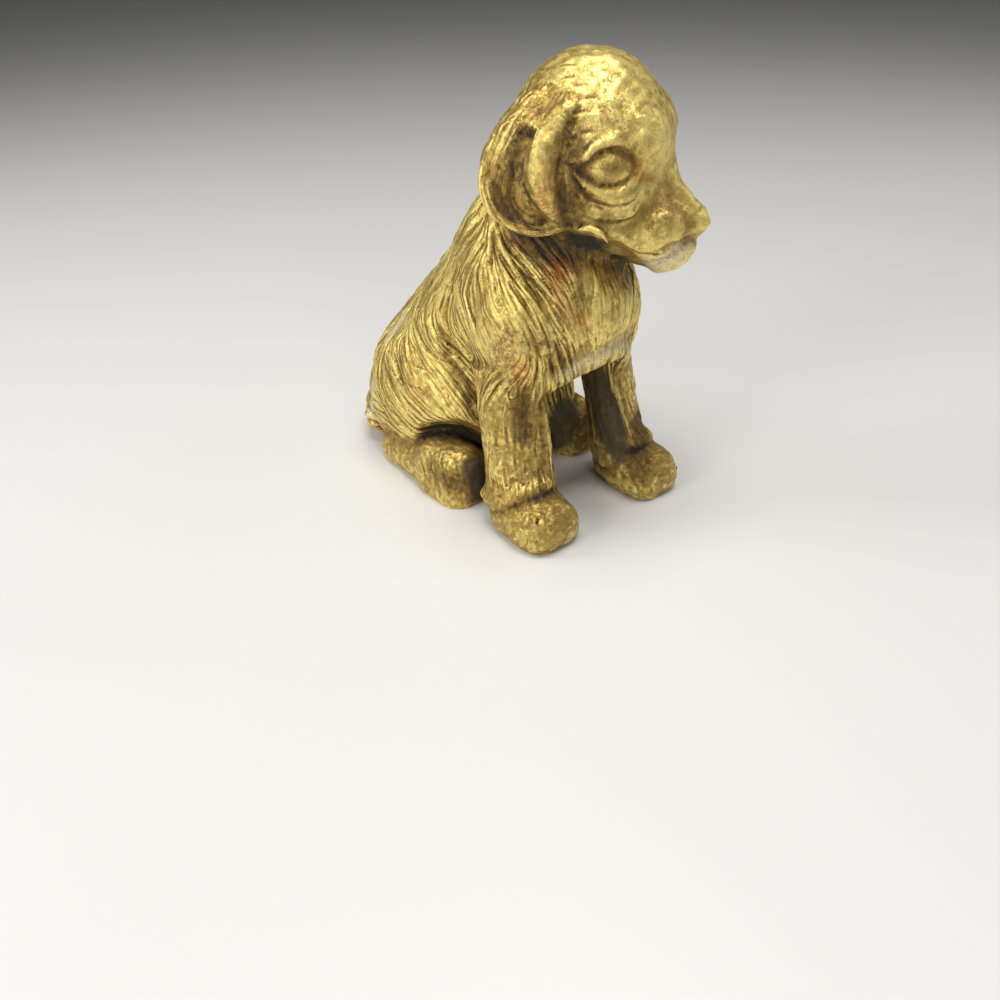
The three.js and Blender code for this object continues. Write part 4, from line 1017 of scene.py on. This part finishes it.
class Hide:
    """The skin's vertices with their neighbours, to walk over along the fur"""

    def __init__(self, skin):
        self.points, self.normals, quads = skin.points, skin.normals, skin.quads
        self.flow = skin.spread(fur_direction(skin.coarse, skin.coarse_normals))
        count, width = len(self.points), 8
        pairs = np.concatenate([np.stack([quads[:, a], quads[:, (a + b) % 4]], 1)
                                for a in range(4) for b in (1, 2, 3)])
        key = np.unique(pairs[:, 0] * count + pairs[:, 1])
        here, there = key // count, key % count
        rank = np.arange(len(here)) - np.searchsorted(here, np.arange(count))[here]
        self.around = np.repeat(np.arange(count)[:, None], width + 1, 1)
        kept = rank < width
        self.around[here[kept], rank[kept] + 1] = there[kept]

    def walk(self, at, place, way):
        """One step with or against the fur: the nearest vertices, and the places on the surface"""
        place = place + self.flow[at] * (WALK_STEP * way)
        near = self.around[at]
        gap = ((self.points[near] - place[:, None]) ** 2).sum(-1)
        at = near[np.arange(len(at)), gap.argmin(1)]
        off = ((place - self.points[at]) * self.normals[at]).sum(1)
        return at, place - off[:, None] * self.normals[at]

    def combed(self, values, reaches, where):
        """Each column of values smeared along the fur over its number of steps either way"""
        total = values.copy()
        for way in (1, -1):
            at, place = where, self.points[where]
            for step in range(1, max(reaches) + 1):
                at, place = self.walk(at, place, way)
                share = np.clip(1 - step / (np.array(reaches) + 1), 0, 1)
                total[where] += values[at] * share
        return total / total[where].std(0)


def grainy(quads, count, rounds, rng):
    """Even noise on the vertices, smoothed over a number of rounds"""
    values = rng.standard_normal((count, 1))
    for _ in range(rounds):
        values = neighbour_mean(values, quads, count)
    return values / values.std()


def below(kind, values):
    """How far the noise lies below the level of its kind"""
    return np.clip(kind["level"] - values, 0, kind["most"])


def fur_relief(hide, quads, coat, rng):
    """How far strands, locks, lumps and chips lie below the modelled surface, and the valleys"""
    count = len(hide.points)
    kinds = (STRANDS, LOCKS, LUMPS, CHIPS)
    strands, locks, lumps, chips = (grainy(quads, count, kind["rounds"], rng) for kind in kinds)
    furred = np.flatnonzero(coat["relief"] > LEAST_RELIEF)
    strand, lock = hide.combed(np.hstack([strands, locks]), (STRAND_STEPS, WALK_STEPS), furred).T
    comb = below(STRANDS, strand) * coat["relief"]
    sunk = below(LOCKS, lock) * coat["relief"]
    bare = 1 - CHIPS_LOST_IN_FUR * np.clip(coat["relief"], 0, 1)
    dents = below(LUMPS, lumps[:, 0])
    chipped = below(CHIPS, chips[:, 0]) * bare * coat["chips"]
    depth = comb * STRANDS["depth"] + sunk * LOCKS["depth"] + dents * LUMPS["depth"]
    return depth + chipped * CHIPS["depth"], np.clip(comb * VALLEY_SHARE, 0, 1)


def tapered(count, start, end):
    """The strength along a stroke of so many points: a slope and a least value for either end"""
    share = np.linspace(0, 1, count)
    return np.minimum(1, np.minimum(share * start[0] + start[1], (1 - share) * end[0] + end[1]))


def fur_strokes(hide, coat, rng):
    """Candidate strokes walked all at once, then laid one by one where there is room"""
    ready = np.flatnonzero(coat["cut"] > STROKE_STARTS_ABOVE)
    seeds = rng.choice(ready, COAT_CANDIDATES, replace=False)
    runs = []
    for way in (1, -1):
        at, place = seeds, hide.points[seeds]
        vertices, places = [], []
        for _ in range(WALK_STEPS):
            at, place = hide.walk(at, place, way)
            vertices.append(at)
            places.append(place)
        runs.append((np.stack(vertices, 1).tolist(), np.stack(places, 1).tolist()))
    spacing, cut, width = (coat[key].tolist() for key in ("spacing", "cut", "width"))
    halves = coat["reach"][seeds] * rng.uniform(SHORTEST_SHARE, 1, len(seeds)) / WALK_STEP / 2
    steps = halves.astype(int).tolist()
    cell = max(row["spacing"] for row in [COAT, EAR_COAT, *COAT_PATCHES])
    room = {}

    def key_of(point):
        return tuple(int(math.floor(c / cell)) for c in point)

    def crowded(point, gap):
        i, j, k = key_of(point)
        for a in (i - 1, i, i + 1):
            for b in (j - 1, j, j + 1):
                for c in (k - 1, k, k + 1):
                    for x, y, z in room.get((a, b, c), ()):
                        if (x - point[0]) ** 2 + (y - point[1]) ** 2 + (z - point[2]) ** 2 < gap * gap:
                            return True
        return False

    strokes = []
    for n, seed in enumerate(seeds.tolist()):
        start = hide.points[seed].tolist()
        if crowded(start, spacing[seed]):
            continue
        halves = []
        for vertices, places in runs:
            half = []
            for vertex, point in zip(vertices[n][:steps[n]], places[n]):
                if cut[vertex] < STROKE_ENDS_BELOW or crowded(point, spacing[vertex] * CROWDED):
                    break
                half.append((point, vertex))
            halves.append(half)
        line = halves[1][::-1] + [(start, seed)] + halves[0]
        if len(line) < SHORTEST_STROKE:
            continue
        for point, _ in line:
            room.setdefault(key_of(point), []).append(point)
        line = line[::2]
        profile = tapered(len(line), *STROKE_TAPER)
        depths = np.array([cut[vertex] for _, vertex in line])
        strength = profile * rng.uniform(FAINTEST_SHARE, 1) * depths
        strokes.append(([point for point, _ in line], strength, width[seed]))
    return strokes


def hand_cuts():
    """The cuts made one by one, laid on the surface on both sides"""
    lines = []
    for side, foot_across in zip(SIDES, (RIGHT_FOOT_ACROSS, LEFT_FOOT_ACROSS)):
        shift = (foot_across - RIGHT_FOOT_ACROSS * side[0], 0, 0)
        lines += [np.array(path) * side for path in BODY_CUTS]
        lines += [np.array(path) * side + shift for path in FOOT_CUTS]
        lines += [from_head(np.array(path) * side) for path in HEAD_CUTS]
    lines = [smooth_path(line, 6) for line in lines]
    on_skin = laid(np.vstack(lines), figure, 0)
    cuts = []
    for line in np.split(on_skin, np.cumsum([len(line) for line in lines])[:-1]):
        strength = tapered(len(line), *CUT_TAPER) * HAND_CUT["strength"]
        cuts.append((line.tolist(), strength, HAND_CUT["width"]))
    return cuts


# Meshes and objects

NO_TRIANGLES = np.empty((0, 3), int)


def mesh_of(name, points, quads, triangles=NO_TRIANGLES):
    mesh = bpy.data.meshes.new(name)
    mesh.vertices.add(len(points))
    mesh.vertices.foreach_set("co", np.asarray(points, np.float32).ravel())
    corners = np.concatenate([quads.ravel(), triangles.ravel()]).astype(np.int32)
    starts = np.concatenate([np.arange(0, quads.size, 4), quads.size + np.arange(0, triangles.size, 3)])
    mesh.loops.add(len(corners))
    mesh.loops.foreach_set("vertex_index", corners)
    mesh.polygons.add(len(starts))
    mesh.polygons.foreach_set("loop_start", starts.astype(np.int32))
    mesh.update(calc_edges=True)
    return mesh


def hold(mesh, key, values):
    """Keeps a number for each of the mesh's vertices"""
    mesh.attributes.new(key, "FLOAT", "POINT").data.foreach_set("value", np.array(values, np.float32))


def put(name, data):
    """A new object of the data, in the scene"""
    made = bpy.data.objects.new(name, data)
    bpy.context.scene.collection.objects.link(made)
    return made


def stroke_object(strokes):
    """The strokes as edges, each point with the strength and the width of the cut there"""
    verts, edges, strength, width = [], [], [], []
    for line, strengths, wide in strokes:
        first = len(verts)
        verts.extend(line)
        edges.extend((first + n, first + n + 1) for n in range(len(line) - 1))
        strength.extend(strengths)
        width.extend([wide] * len(line))
    mesh = bpy.data.meshes.new("fur_strokes")
    mesh.from_pydata(to_frame(verts).tolist(), edges, [])
    hold(mesh, "strength", strength)
    hold(mesh, "width", width)
    return put("fur_strokes", mesh)


# Geometry Nodes that cut the strokes into the skin

def chasing_tree():
    tree = bpy.data.node_groups.new("chase_fur", "GeometryNodeTree")
    tree.is_modifier = True
    sockets = {}

    def socket(name, kind, value=None):
        item = tree.interface.new_socket(name=name, in_out="INPUT", socket_type=kind)
        if value is not None:
            item.default_value = value
        sockets[name] = item.identifier

    socket("Skin", "NodeSocketGeometry")
    socket("Strokes", "NodeSocketObject")
    socket("Groove width", "NodeSocketFloat", GROOVE_WIDTH * MM)
    socket("Groove depth", "NodeSocketFloat", GROOVE_DEPTH * MM)
    socket("Finish", "NodeSocketMaterial")
    tree.interface.new_socket(name="Chased skin", in_out="OUTPUT", socket_type="NodeSocketGeometry")

    def node(kind, settings=None, values=None):
        made = tree.nodes.new(kind)
        for key, value in (settings or {}).items():
            setattr(made, key, value)
        for key, value in (values or {}).items():
            if isinstance(value, bpy.types.NodeSocket):
                tree.links.new(value, made.inputs[key])
            else:
                made.inputs[key].default_value = value
        return made

    def maths(operation, a, b):
        return node("ShaderNodeMath", dict(operation=operation), {0: a, 1: b}).outputs[0]

    number = dict(data_type="FLOAT", domain="POINT")
    given = node("NodeGroupInput").outputs
    strokes = node("GeometryNodeObjectInfo", {}, {0: given["Strokes"]}).outputs["Geometry"]
    position = node("GeometryNodeInputPosition").outputs[0]
    edges = dict(target_element="EDGES")
    distance = node("GeometryNodeProximity", edges, {0: strokes}).outputs["Distance"]
    points = dict(domain="POINT")
    nearest = node("GeometryNodeSampleNearest", points, {0: strokes, 1: position}).outputs[0]

    def of_stroke(key):
        held = node("GeometryNodeInputNamedAttribute", dict(data_type="FLOAT"), {0: key}).outputs[0]
        return node("GeometryNodeSampleIndex", number, {0: strokes, 1: held, 2: nearest}).outputs[0]

    strength = of_stroke("strength")
    wide = maths("MULTIPLY", given["Groove width"], of_stroke("width"))
    near = maths("MAXIMUM", maths("SUBTRACT", 1.0, maths("DIVIDE", distance, wide)), 0.0)
    groove = maths("MULTIPLY", maths("POWER", near, GROOVE_SHARPNESS), strength)
    depth = maths("MULTIPLY", maths("MULTIPLY", groove, given["Groove depth"]), -1.0)
    normal = node("GeometryNodeInputNormal").outputs[0]
    offset = node("ShaderNodeVectorMath", dict(operation="SCALE"), {0: normal, 3: depth}).outputs[0]
    marked = {0: given["Skin"], 2: "groove", 3: groove}
    marked = node("GeometryNodeStoreNamedAttribute", number, marked).outputs[0]
    moved = node("GeometryNodeSetPosition", {}, {0: marked, 3: offset}).outputs[0]
    real = node("GeometryNodeRealizeInstances", {}, {0: moved}).outputs[0]
    finished = node("GeometryNodeSetMaterial", {}, {0: real, 2: given["Finish"]}).outputs[0]
    tree.links.new(finished, node("NodeGroupOutput").inputs[0])
    return tree, sockets


def chased(points, quads, strokes, finish):
    """The skin after the chasing, as points in the frame and each point's groove"""
    skin = put("skin", mesh_of("skin", to_frame(points), quads))
    tree, sockets = chasing_tree()
    modifier = skin.modifiers.new("chasing", "NODES")
    modifier.node_group = tree
    modifier[sockets["Strokes"]] = strokes
    modifier[sockets["Finish"]] = finish
    depsgraph = bpy.context.evaluated_depsgraph_get()
    mesh = bpy.data.meshes.new_from_object(skin.evaluated_get(depsgraph), depsgraph=depsgraph)
    co = np.empty(len(mesh.vertices) * 3, np.float32)
    mesh.vertices.foreach_get("co", co)
    groove = np.empty(len(mesh.vertices), np.float32)
    mesh.attributes["groove"].data.foreach_get("value", groove)
    skin.modifiers.clear()
    for used in (skin, strokes):
        data = used.data
        bpy.data.objects.remove(used)
        bpy.data.meshes.remove(data)
    bpy.data.meshes.remove(mesh)
    return co.reshape(-1, 3).astype(float), groove


# What the patina and the painted shade follow: how hollow the surface is close by, and how shut in it
# is further out

def neighbour_mean(values, quads, count):
    """Every point's value, a third of it its own and the rest its neighbours'"""
    total = np.zeros((count, values.shape[1]))
    for n in range(4):
        for axis in range(values.shape[1]):
            total[:, axis] += np.bincount(quads[:, n], values[quads[:, n - 1], axis]
                                          + values[quads[:, (n + 1) % 4], axis], count)
    shares = np.bincount(quads.ravel(), minlength=count) * 2
    return values / 3 + total / shares[:, None] * 2 / 3


def hollowness(points, quads, rounds):
    """How far the surface lies below its own smoothed form, in metres"""
    smooth = points
    for _ in range(rounds):
        smooth = neighbour_mean(smooth, quads, len(points))
    return ((smooth - points) * normals_of(points, quads)).sum(1)


def occlusion_shade_at(points, normals):
    """0 in the open, towards 1 in corners and under overhangs, where the finish paints shade"""
    total = np.zeros(len(points))
    for reach in OCCLUSION_SHADE_REACHES:
        free = figure((points + normals * reach).astype(np.float32))
        total += np.clip(1 - free / reach, 0, 1.5)
    return total / len(OCCLUSION_SHADE_REACHES)


def painted(points, marks, head_marks=()):
    """1 inside the marks, 0 away from them"""
    p = points.astype(np.float32)
    m = mirrored(in_head(p))
    gaps = [cord(p, mark) for mark in marks] + [cord(m, mark) for mark in head_marks]
    return ramp(np.min(gaps, 0), PAINT_SOFTNESS / 2, -PAINT_SOFTNESS / 2)


# Castings: every face of the skin belongs to the casting whose CAD node it dresses

def casting_of(p):
    """Number of the casting that each point lies on"""
    p = p.astype(np.float32)
    q = in_head(p)
    number = {name: n for n, name in enumerate(PIECES)}
    left = p[:, 0] > 0
    back = p[:, 1] > HAUNCH_FROM
    found = np.where(left, np.where(back, number["torso_left_haunch"], number["torso_left_shell"]),
                     np.where(back, number["torso_right_haunch"], number["torso_right_shell"]))
    main = trunk(p)
    slope = (LEG_SEAM_FRONT[1] - LEG_SEAM_BACK[1]) / (LEG_SEAM_FRONT[0] - LEG_SEAM_BACK[0])
    below = p[:, 2] < LEG_SEAM_BACK[1] + slope * (p[:, 1] - LEG_SEAM_BACK[0])
    on_leg = foreleg(p)
    leg = below & (p[:, 1] < LEG_SEAM_BACK[0]) & (on_leg < main + 1) & (on_leg < hind_feet(p))
    found = np.where(leg, np.where(left, number["foreleg_left"], number["foreleg_right"]), found)
    for name, across in (("hind_foot_left", LEFT_FOOT_ACROSS), ("hind_foot_right", RIGHT_FOOT_ACROSS)):
        found = np.where(~leg & (hind_foot(p, across) < main), number[name], found)
    found = np.where(tail(p) < main, number["tail"], found)
    slant = math.radians(NECK_SEAM_SLANT)
    up = np.array((0, -math.sin(slant), math.cos(slant)))
    above = (p - np.array(NECK_SEAM_AT)) @ up > 0
    found = np.where(above, number["head_shell"], found)
    on_ear = ear(q) < np.minimum(head(q), main)
    return np.where(on_ear, np.where(q[:, 0] > 0, number["ear_left"], number["ear_right"]), found)


def border_edges(quads, count):
    """Directed edges that no other face of the same casting runs back along"""
    edges = np.stack([quads, np.roll(quads, -1, 1)], -1).reshape(-1, 2)
    forward = edges[:, 0] < edges[:, 1]
    low, high = edges.min(1), edges.max(1)
    key, where = np.unique(low * count + high, return_inverse=True)
    balance = np.bincount(where, np.where(forward, 1, -1)).round().astype(int)
    border = []
    for edge, more in zip(key, balance):
        a, b = divmod(int(edge), count)
        border.extend([(a, b) if more > 0 else (b, a)] * abs(more))
    return border


def loops_of(edges):
    """Closed rings from directed edges"""
    after = {}
    for a, b in edges:
        after.setdefault(a, []).append(b)
    rings = []
    while after:
        start = next(iter(after))
        ring = [start]
        here = start
        while True:
            onward = after[here].pop()
            if not after[here]:
                del after[here]
            if onward == start:
                break
            ring.append(onward)
            here = onward
        rings.append(ring)
    return rings


def layers_behind(ring, aim):
    """Rings that draw together from a casting's edge towards the aim, ever deeper inside the figure"""
    layers = []
    here = ring
    for share, depth in zip(CAP_SHARES, CAP_DEPTHS):
        here = here + (aim - here) * share
        for _ in range(2):
            value, slope = gradient(figure, here)
            here = here - slope * np.maximum(value + depth, 0)[:, None]
        layers.append(here)
    return layers


def casting_mesh(name, points, hidden, normals, quads, attributes):
    """One casting's faces, closed behind its edges by layers that lie inside the figure"""
    used, local = np.unique(quads, return_inverse=True)
    local = local.reshape(-1, 4)
    extra = []
    fours, threes = [local], []
    size = len(used)
    for ring in loops_of(border_edges(local, size)):
        edge = hidden[used[ring]]
        round_body = name.startswith("torso") and len(ring) > LONG_RING
        aim = np.array(TORSO_CORE if round_body else edge.mean(0), float)
        before = np.array(ring)
        for layer in layers_behind(edge, aim):
            after = size + np.arange(len(ring))
            size += len(ring)
            extra.append(to_frame(layer))
            fours.append(np.stack([np.roll(before, -1), before, after, np.roll(after, -1)], 1))
            before = after
        extra.append(to_frame(layer.mean(0))[None])
        threes.append(np.stack([np.roll(before, -1), before, np.full(len(ring), size)], 1))
        size += 1
    extra = np.vstack(extra)
    mesh = mesh_of(name, np.vstack([points[used], extra]), np.vstack(fours), np.vstack(threes))
    mesh.polygons.foreach_set("use_smooth", np.ones(len(mesh.polygons), bool))
    for key, values in attributes.items():
        hold(mesh, key, np.concatenate([values[used], np.ones(len(extra))]))
    vertex_normals = np.vstack([normals[used], np.zeros(extra.shape)])
    mesh.normals_split_custom_set_from_vertices(vertex_normals.tolist())
    return mesh


# Finishes

class Wire:
    """A shader socket that takes Python's own signs"""

    def __init__(self, finish, socket):
        self.finish = finish
        self.socket = socket

    def maths(self, operation, *values):
        return self.finish.node("ShaderNodeMath", dict(operation=operation), dict(enumerate(values)))

    def __add__(self, other):
        return self.maths("ADD", self, other)

    __radd__ = __add__

    def __mul__(self, other):
        return self.maths("MULTIPLY", self, other)

    __rmul__ = __mul__

    def __sub__(self, other):
        return self.maths("SUBTRACT", self, other)

    def __rsub__(self, other):
        return self.maths("SUBTRACT", other, self)

    def between(self, low, high):
        """0 at low or less, 1 at high or more, smooth in between"""
        settings = dict(interpolation_type="SMOOTHSTEP")
        return self.finish.node("ShaderNodeMapRange", settings, {0: self, 1: low, 2: high})

    def clamped(self):
        return self.finish.node("ShaderNodeClamp", {}, {0: self})


class Finish:
    """A material and the nodes in it"""

    def __init__(self, name):
        self.material = bpy.data.materials.new(name)
        self.material.use_nodes = True
        self.tree = self.material.node_tree
        self.shader = self.tree.nodes["Principled BSDF"]

    def node(self, kind, settings, values, output=0):
        made = self.tree.nodes.new(kind)
        for key, value in settings.items():
            setattr(made, key, value)
        for key, value in values.items():
            self.feed(made.inputs[key], value)
        return Wire(self, made.outputs[output])

    def feed(self, socket, value):
        if isinstance(value, Wire):
            self.tree.links.new(value.socket, socket)
        elif socket.type == "RGBA" and len(value) == 3:
            socket.default_value = (*value, 1)
        else:
            socket.default_value = value

    def attribute(self, name):
        return self.node("ShaderNodeAttribute", dict(attribute_name=name), {}, "Fac")

    def noise(self, **look):
        place = self.node("ShaderNodeTexCoord", {}, {}, "Object")
        return self.node("ShaderNodeTexNoise", {}, dict(Vector=place, **look))

    def mixed(self, share, a, b):
        return self.node("ShaderNodeMix", dict(data_type="RGBA"), {0: share, 6: a, 7: b}, 2)


def summed(figures, weights):
    """The sum of the named figures, each times its weight"""
    terms = [figures[key] * weight for key, weight in weights.items()]
    return sum(terms[1:], terms[0])


def brass(name, tarnish, sharpness):
    """Cast brass: gold where hands rub it, brown between, soot in the cuts, with painted shade and
    highlights
    """
    finish = Finish(name)
    # The surface's figures by name: attributes and noises, then the masks worked out from them
    f = {key: finish.attribute(key) for key in ("groove", "comb", "hollow", "occlusion_shade", "leg_foot_ear_darkening", *PAINT)}
    f.update({key: finish.noise(**look) for key, look in GRAINS.items()})
    # Gold where worn; painted shade takes it away where the surface is shut in and under the grime
    # marks
    f["worn"] = summed(f, WORN_BY).between(tarnish - sharpness, tarnish + sharpness)
    # Brown dirt in the hollows, and brown painted shade where the surface is shut in and under the
    # grime marks
    f["dirt_and_shade"] = summed(f, DIRT_AND_SHADE_BY).between(*DIRT_AND_SHADE_GROWS)
    # Black soot in the cuts, and black painted shade where the surface is shut in, under the grime
    # marks and in the marked creases
    f["soot_and_shade"] = summed(f, SOOT_AND_SHADE_BY).between(*SOOT_AND_SHADE_GROWS)
    f["brown"] = f["brown"] * f["mottle"].between(*BROWN_FLECKS)
    f["rust"] = f["rust"] * f["mottle"].between(*RUST_FLECKS)
    # Pale oxide and painted highlights, in flecks, kept out of the cuts
    f["pale_oxide_and_highlight"] = f["pale_oxide_and_highlight"] * f["grain"].between(*PALE_OXIDE_AND_HIGHLIGHT_FLECKS) * (1 - f["groove"])
    # Dull grey painted shade where its marks lie
    f["shade_patch"] = (SHADE_PATCH_START + summed(f, SHADE_PATCH_BY)).clamped()
    thin = f["worms"].between(*LINE_STARTS) * (1 - f["worms"].between(*LINE_ENDS))
    f["lines"] = thin * summed(f, LINE_BY).between(*LINE_GROWS)
    f["flecks"] = f["grain"].between(*FLECK_GRAIN) * summed(f, FLECK_BY).between(*FLECK_GROWS)
    f["pits"] = summed(f, PITS_BY).clamped()
    colour = finish.mixed(f["worn"], OLD_GOLD, BRIGHT_GOLD)
    for key, (cover, tint) in LAYERS.items():
        # The painted shade's grey is flecked with brown
        if key == "shade_patch":
            tint = finish.mixed(f["mottle"].between(*SHADE_PATCH_FLECKS), SHADE_GREY, BROWN)
        colour = finish.mixed(f[key] * cover, colour, tint)
    bump = finish.node("ShaderNodeBump", {}, dict(Height=summed(f, BUMP_BY), **BUMP))
    inputs = finish.shader.inputs
    finish.feed(inputs["Base Color"], colour)
    finish.feed(inputs["Metallic"], (1 - summed(f, DULL_BY)).clamped())
    finish.feed(inputs["Roughness"], (ROUGH_START + summed(f, ROUGH_BY)).clamped())
    finish.feed(inputs["Normal"], bump)
    return finish.material


# The figurine

def make_figurine():
    rng = np.random.default_rng(SEED)
    skin = Skin()
    hide = Hide(skin)
    coat = coat_of(skin)
    relief, comb = fur_relief(hide, skin.quads, coat, rng)
    strokes = fur_strokes(hide, coat, rng) + hand_cuts()
    combed = skin.points - skin.normals * relief[:, None]
    combed[:, 2] = np.maximum(combed[:, 2], np.minimum(skin.points[:, 2], FLAT_BELOW))
    finishes = {name: brass(name, *values) for name, values in FINISHES.items()}
    placed, groove = chased(combed, skin.quads, stroke_object(strokes), finishes["brass"])
    normals = normals_of(placed, skin.quads)
    hollow = sum(hollowness(placed, skin.quads, rounds) / (full * MM) for rounds, full in HOLLOWS)
    # How shut in each point is, which the finish turns into painted shade
    occlusion_shade = skin.spread(occlusion_shade_at(skin.coarse, skin.coarse_normals))
    hollow = np.clip(hollow, *HOLLOW_RANGE)
    attributes = dict(groove=groove, comb=comb, hollow=hollow, occlusion_shade=occlusion_shade, leg_foot_ear_darkening=coat["leg_foot_ear_darkening"])
    for key, marks in PAINT.items():
        attributes[key] = skin.spread(painted(skin.coarse, marks, HEAD_PAINT.get(key, ())))
    castings = np.tile(casting_of(skin.coarse[skin.coarse_quads].mean(1)), 4)
    slot_of = {row["node"]: row["material_slot"] for row in frame["record"]["subparts"]}
    for n, name in enumerate(PIECES):
        node = NODE_OF.get(name, name)
        mesh = casting_mesh(name, placed, combed, normals, skin.quads[castings == n], attributes)
        slot = slot_of[node]
        mesh.materials.append(finishes[slot])
        piece = put(f"cast_{name}", mesh)
        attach(piece, "root")
        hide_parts(node)


# Camera, floor and light

def make_camera():
    data = bpy.data.cameras.new("camera")
    data.lens = CAMERA_LENS
    data.sensor_width = 36
    data.clip_start = 0.01
    data.clip_end = 20
    camera = put("camera", data)
    facing = math.radians(CAMERA_FACING)
    ahead = Vector((math.sin(facing), math.cos(facing), 0)) * math.cos(CAMERA_DOWN)
    ahead.z = -math.sin(CAMERA_DOWN)
    right = Vector((math.cos(facing), -math.sin(facing), 0))
    up = right.cross(ahead)
    level = Matrix((right, up, -ahead)).transposed().to_4x4()
    turn = level @ Matrix.Rotation(CAMERA_ROLL, 4, "Z")
    camera.matrix_world = Matrix.Translation(Vector(to_frame(CAMERA_AT))) @ turn
    bpy.context.scene.camera = camera


def make_floor():
    corners = [(-1, -1, 0), (1, -1, 0), (1, 1, 0), (-1, 1, 0)]
    mesh = mesh_of("floor", np.array(corners) * FLOOR_HALF, np.array([[0, 1, 2, 3]]))
    finish = Finish("pale_floor")
    greys = finish.mixed(finish.noise(**FLOOR_CLOUDS), *FLOOR_GREYS)
    finish.feed(finish.shader.inputs["Base Color"], greys)
    finish.feed(finish.shader.inputs["Roughness"], FLOOR_ROUGHNESS)
    mesh.materials.append(finish.material)
    put("floor", mesh)


def make_light():
    for name, (at, size, power, colour) in LIGHTS.items():
        data = bpy.data.lights.new(name, "AREA")
        data.shape = "RECTANGLE"
        data.size, data.size_y = size
        data.energy = power
        data.color = colour
        light = put(name, data)
        light.location = at
        light.rotation_euler = (Vector(LIGHT_AIM) - Vector(at)).to_track_quat("-Z", "Y").to_euler()
    world = bpy.data.worlds.new("studio")
    world.use_nodes = True
    inputs = world.node_tree.nodes["Background"].inputs
    inputs["Color"].default_value = DAYLIGHT
    inputs["Strength"].default_value = DAYLIGHT_STRENGTH
    bpy.context.scene.world = world
    bpy.context.scene.view_settings.view_transform = "Standard"


make_camera()
make_floor()
make_light()
make_figurine()
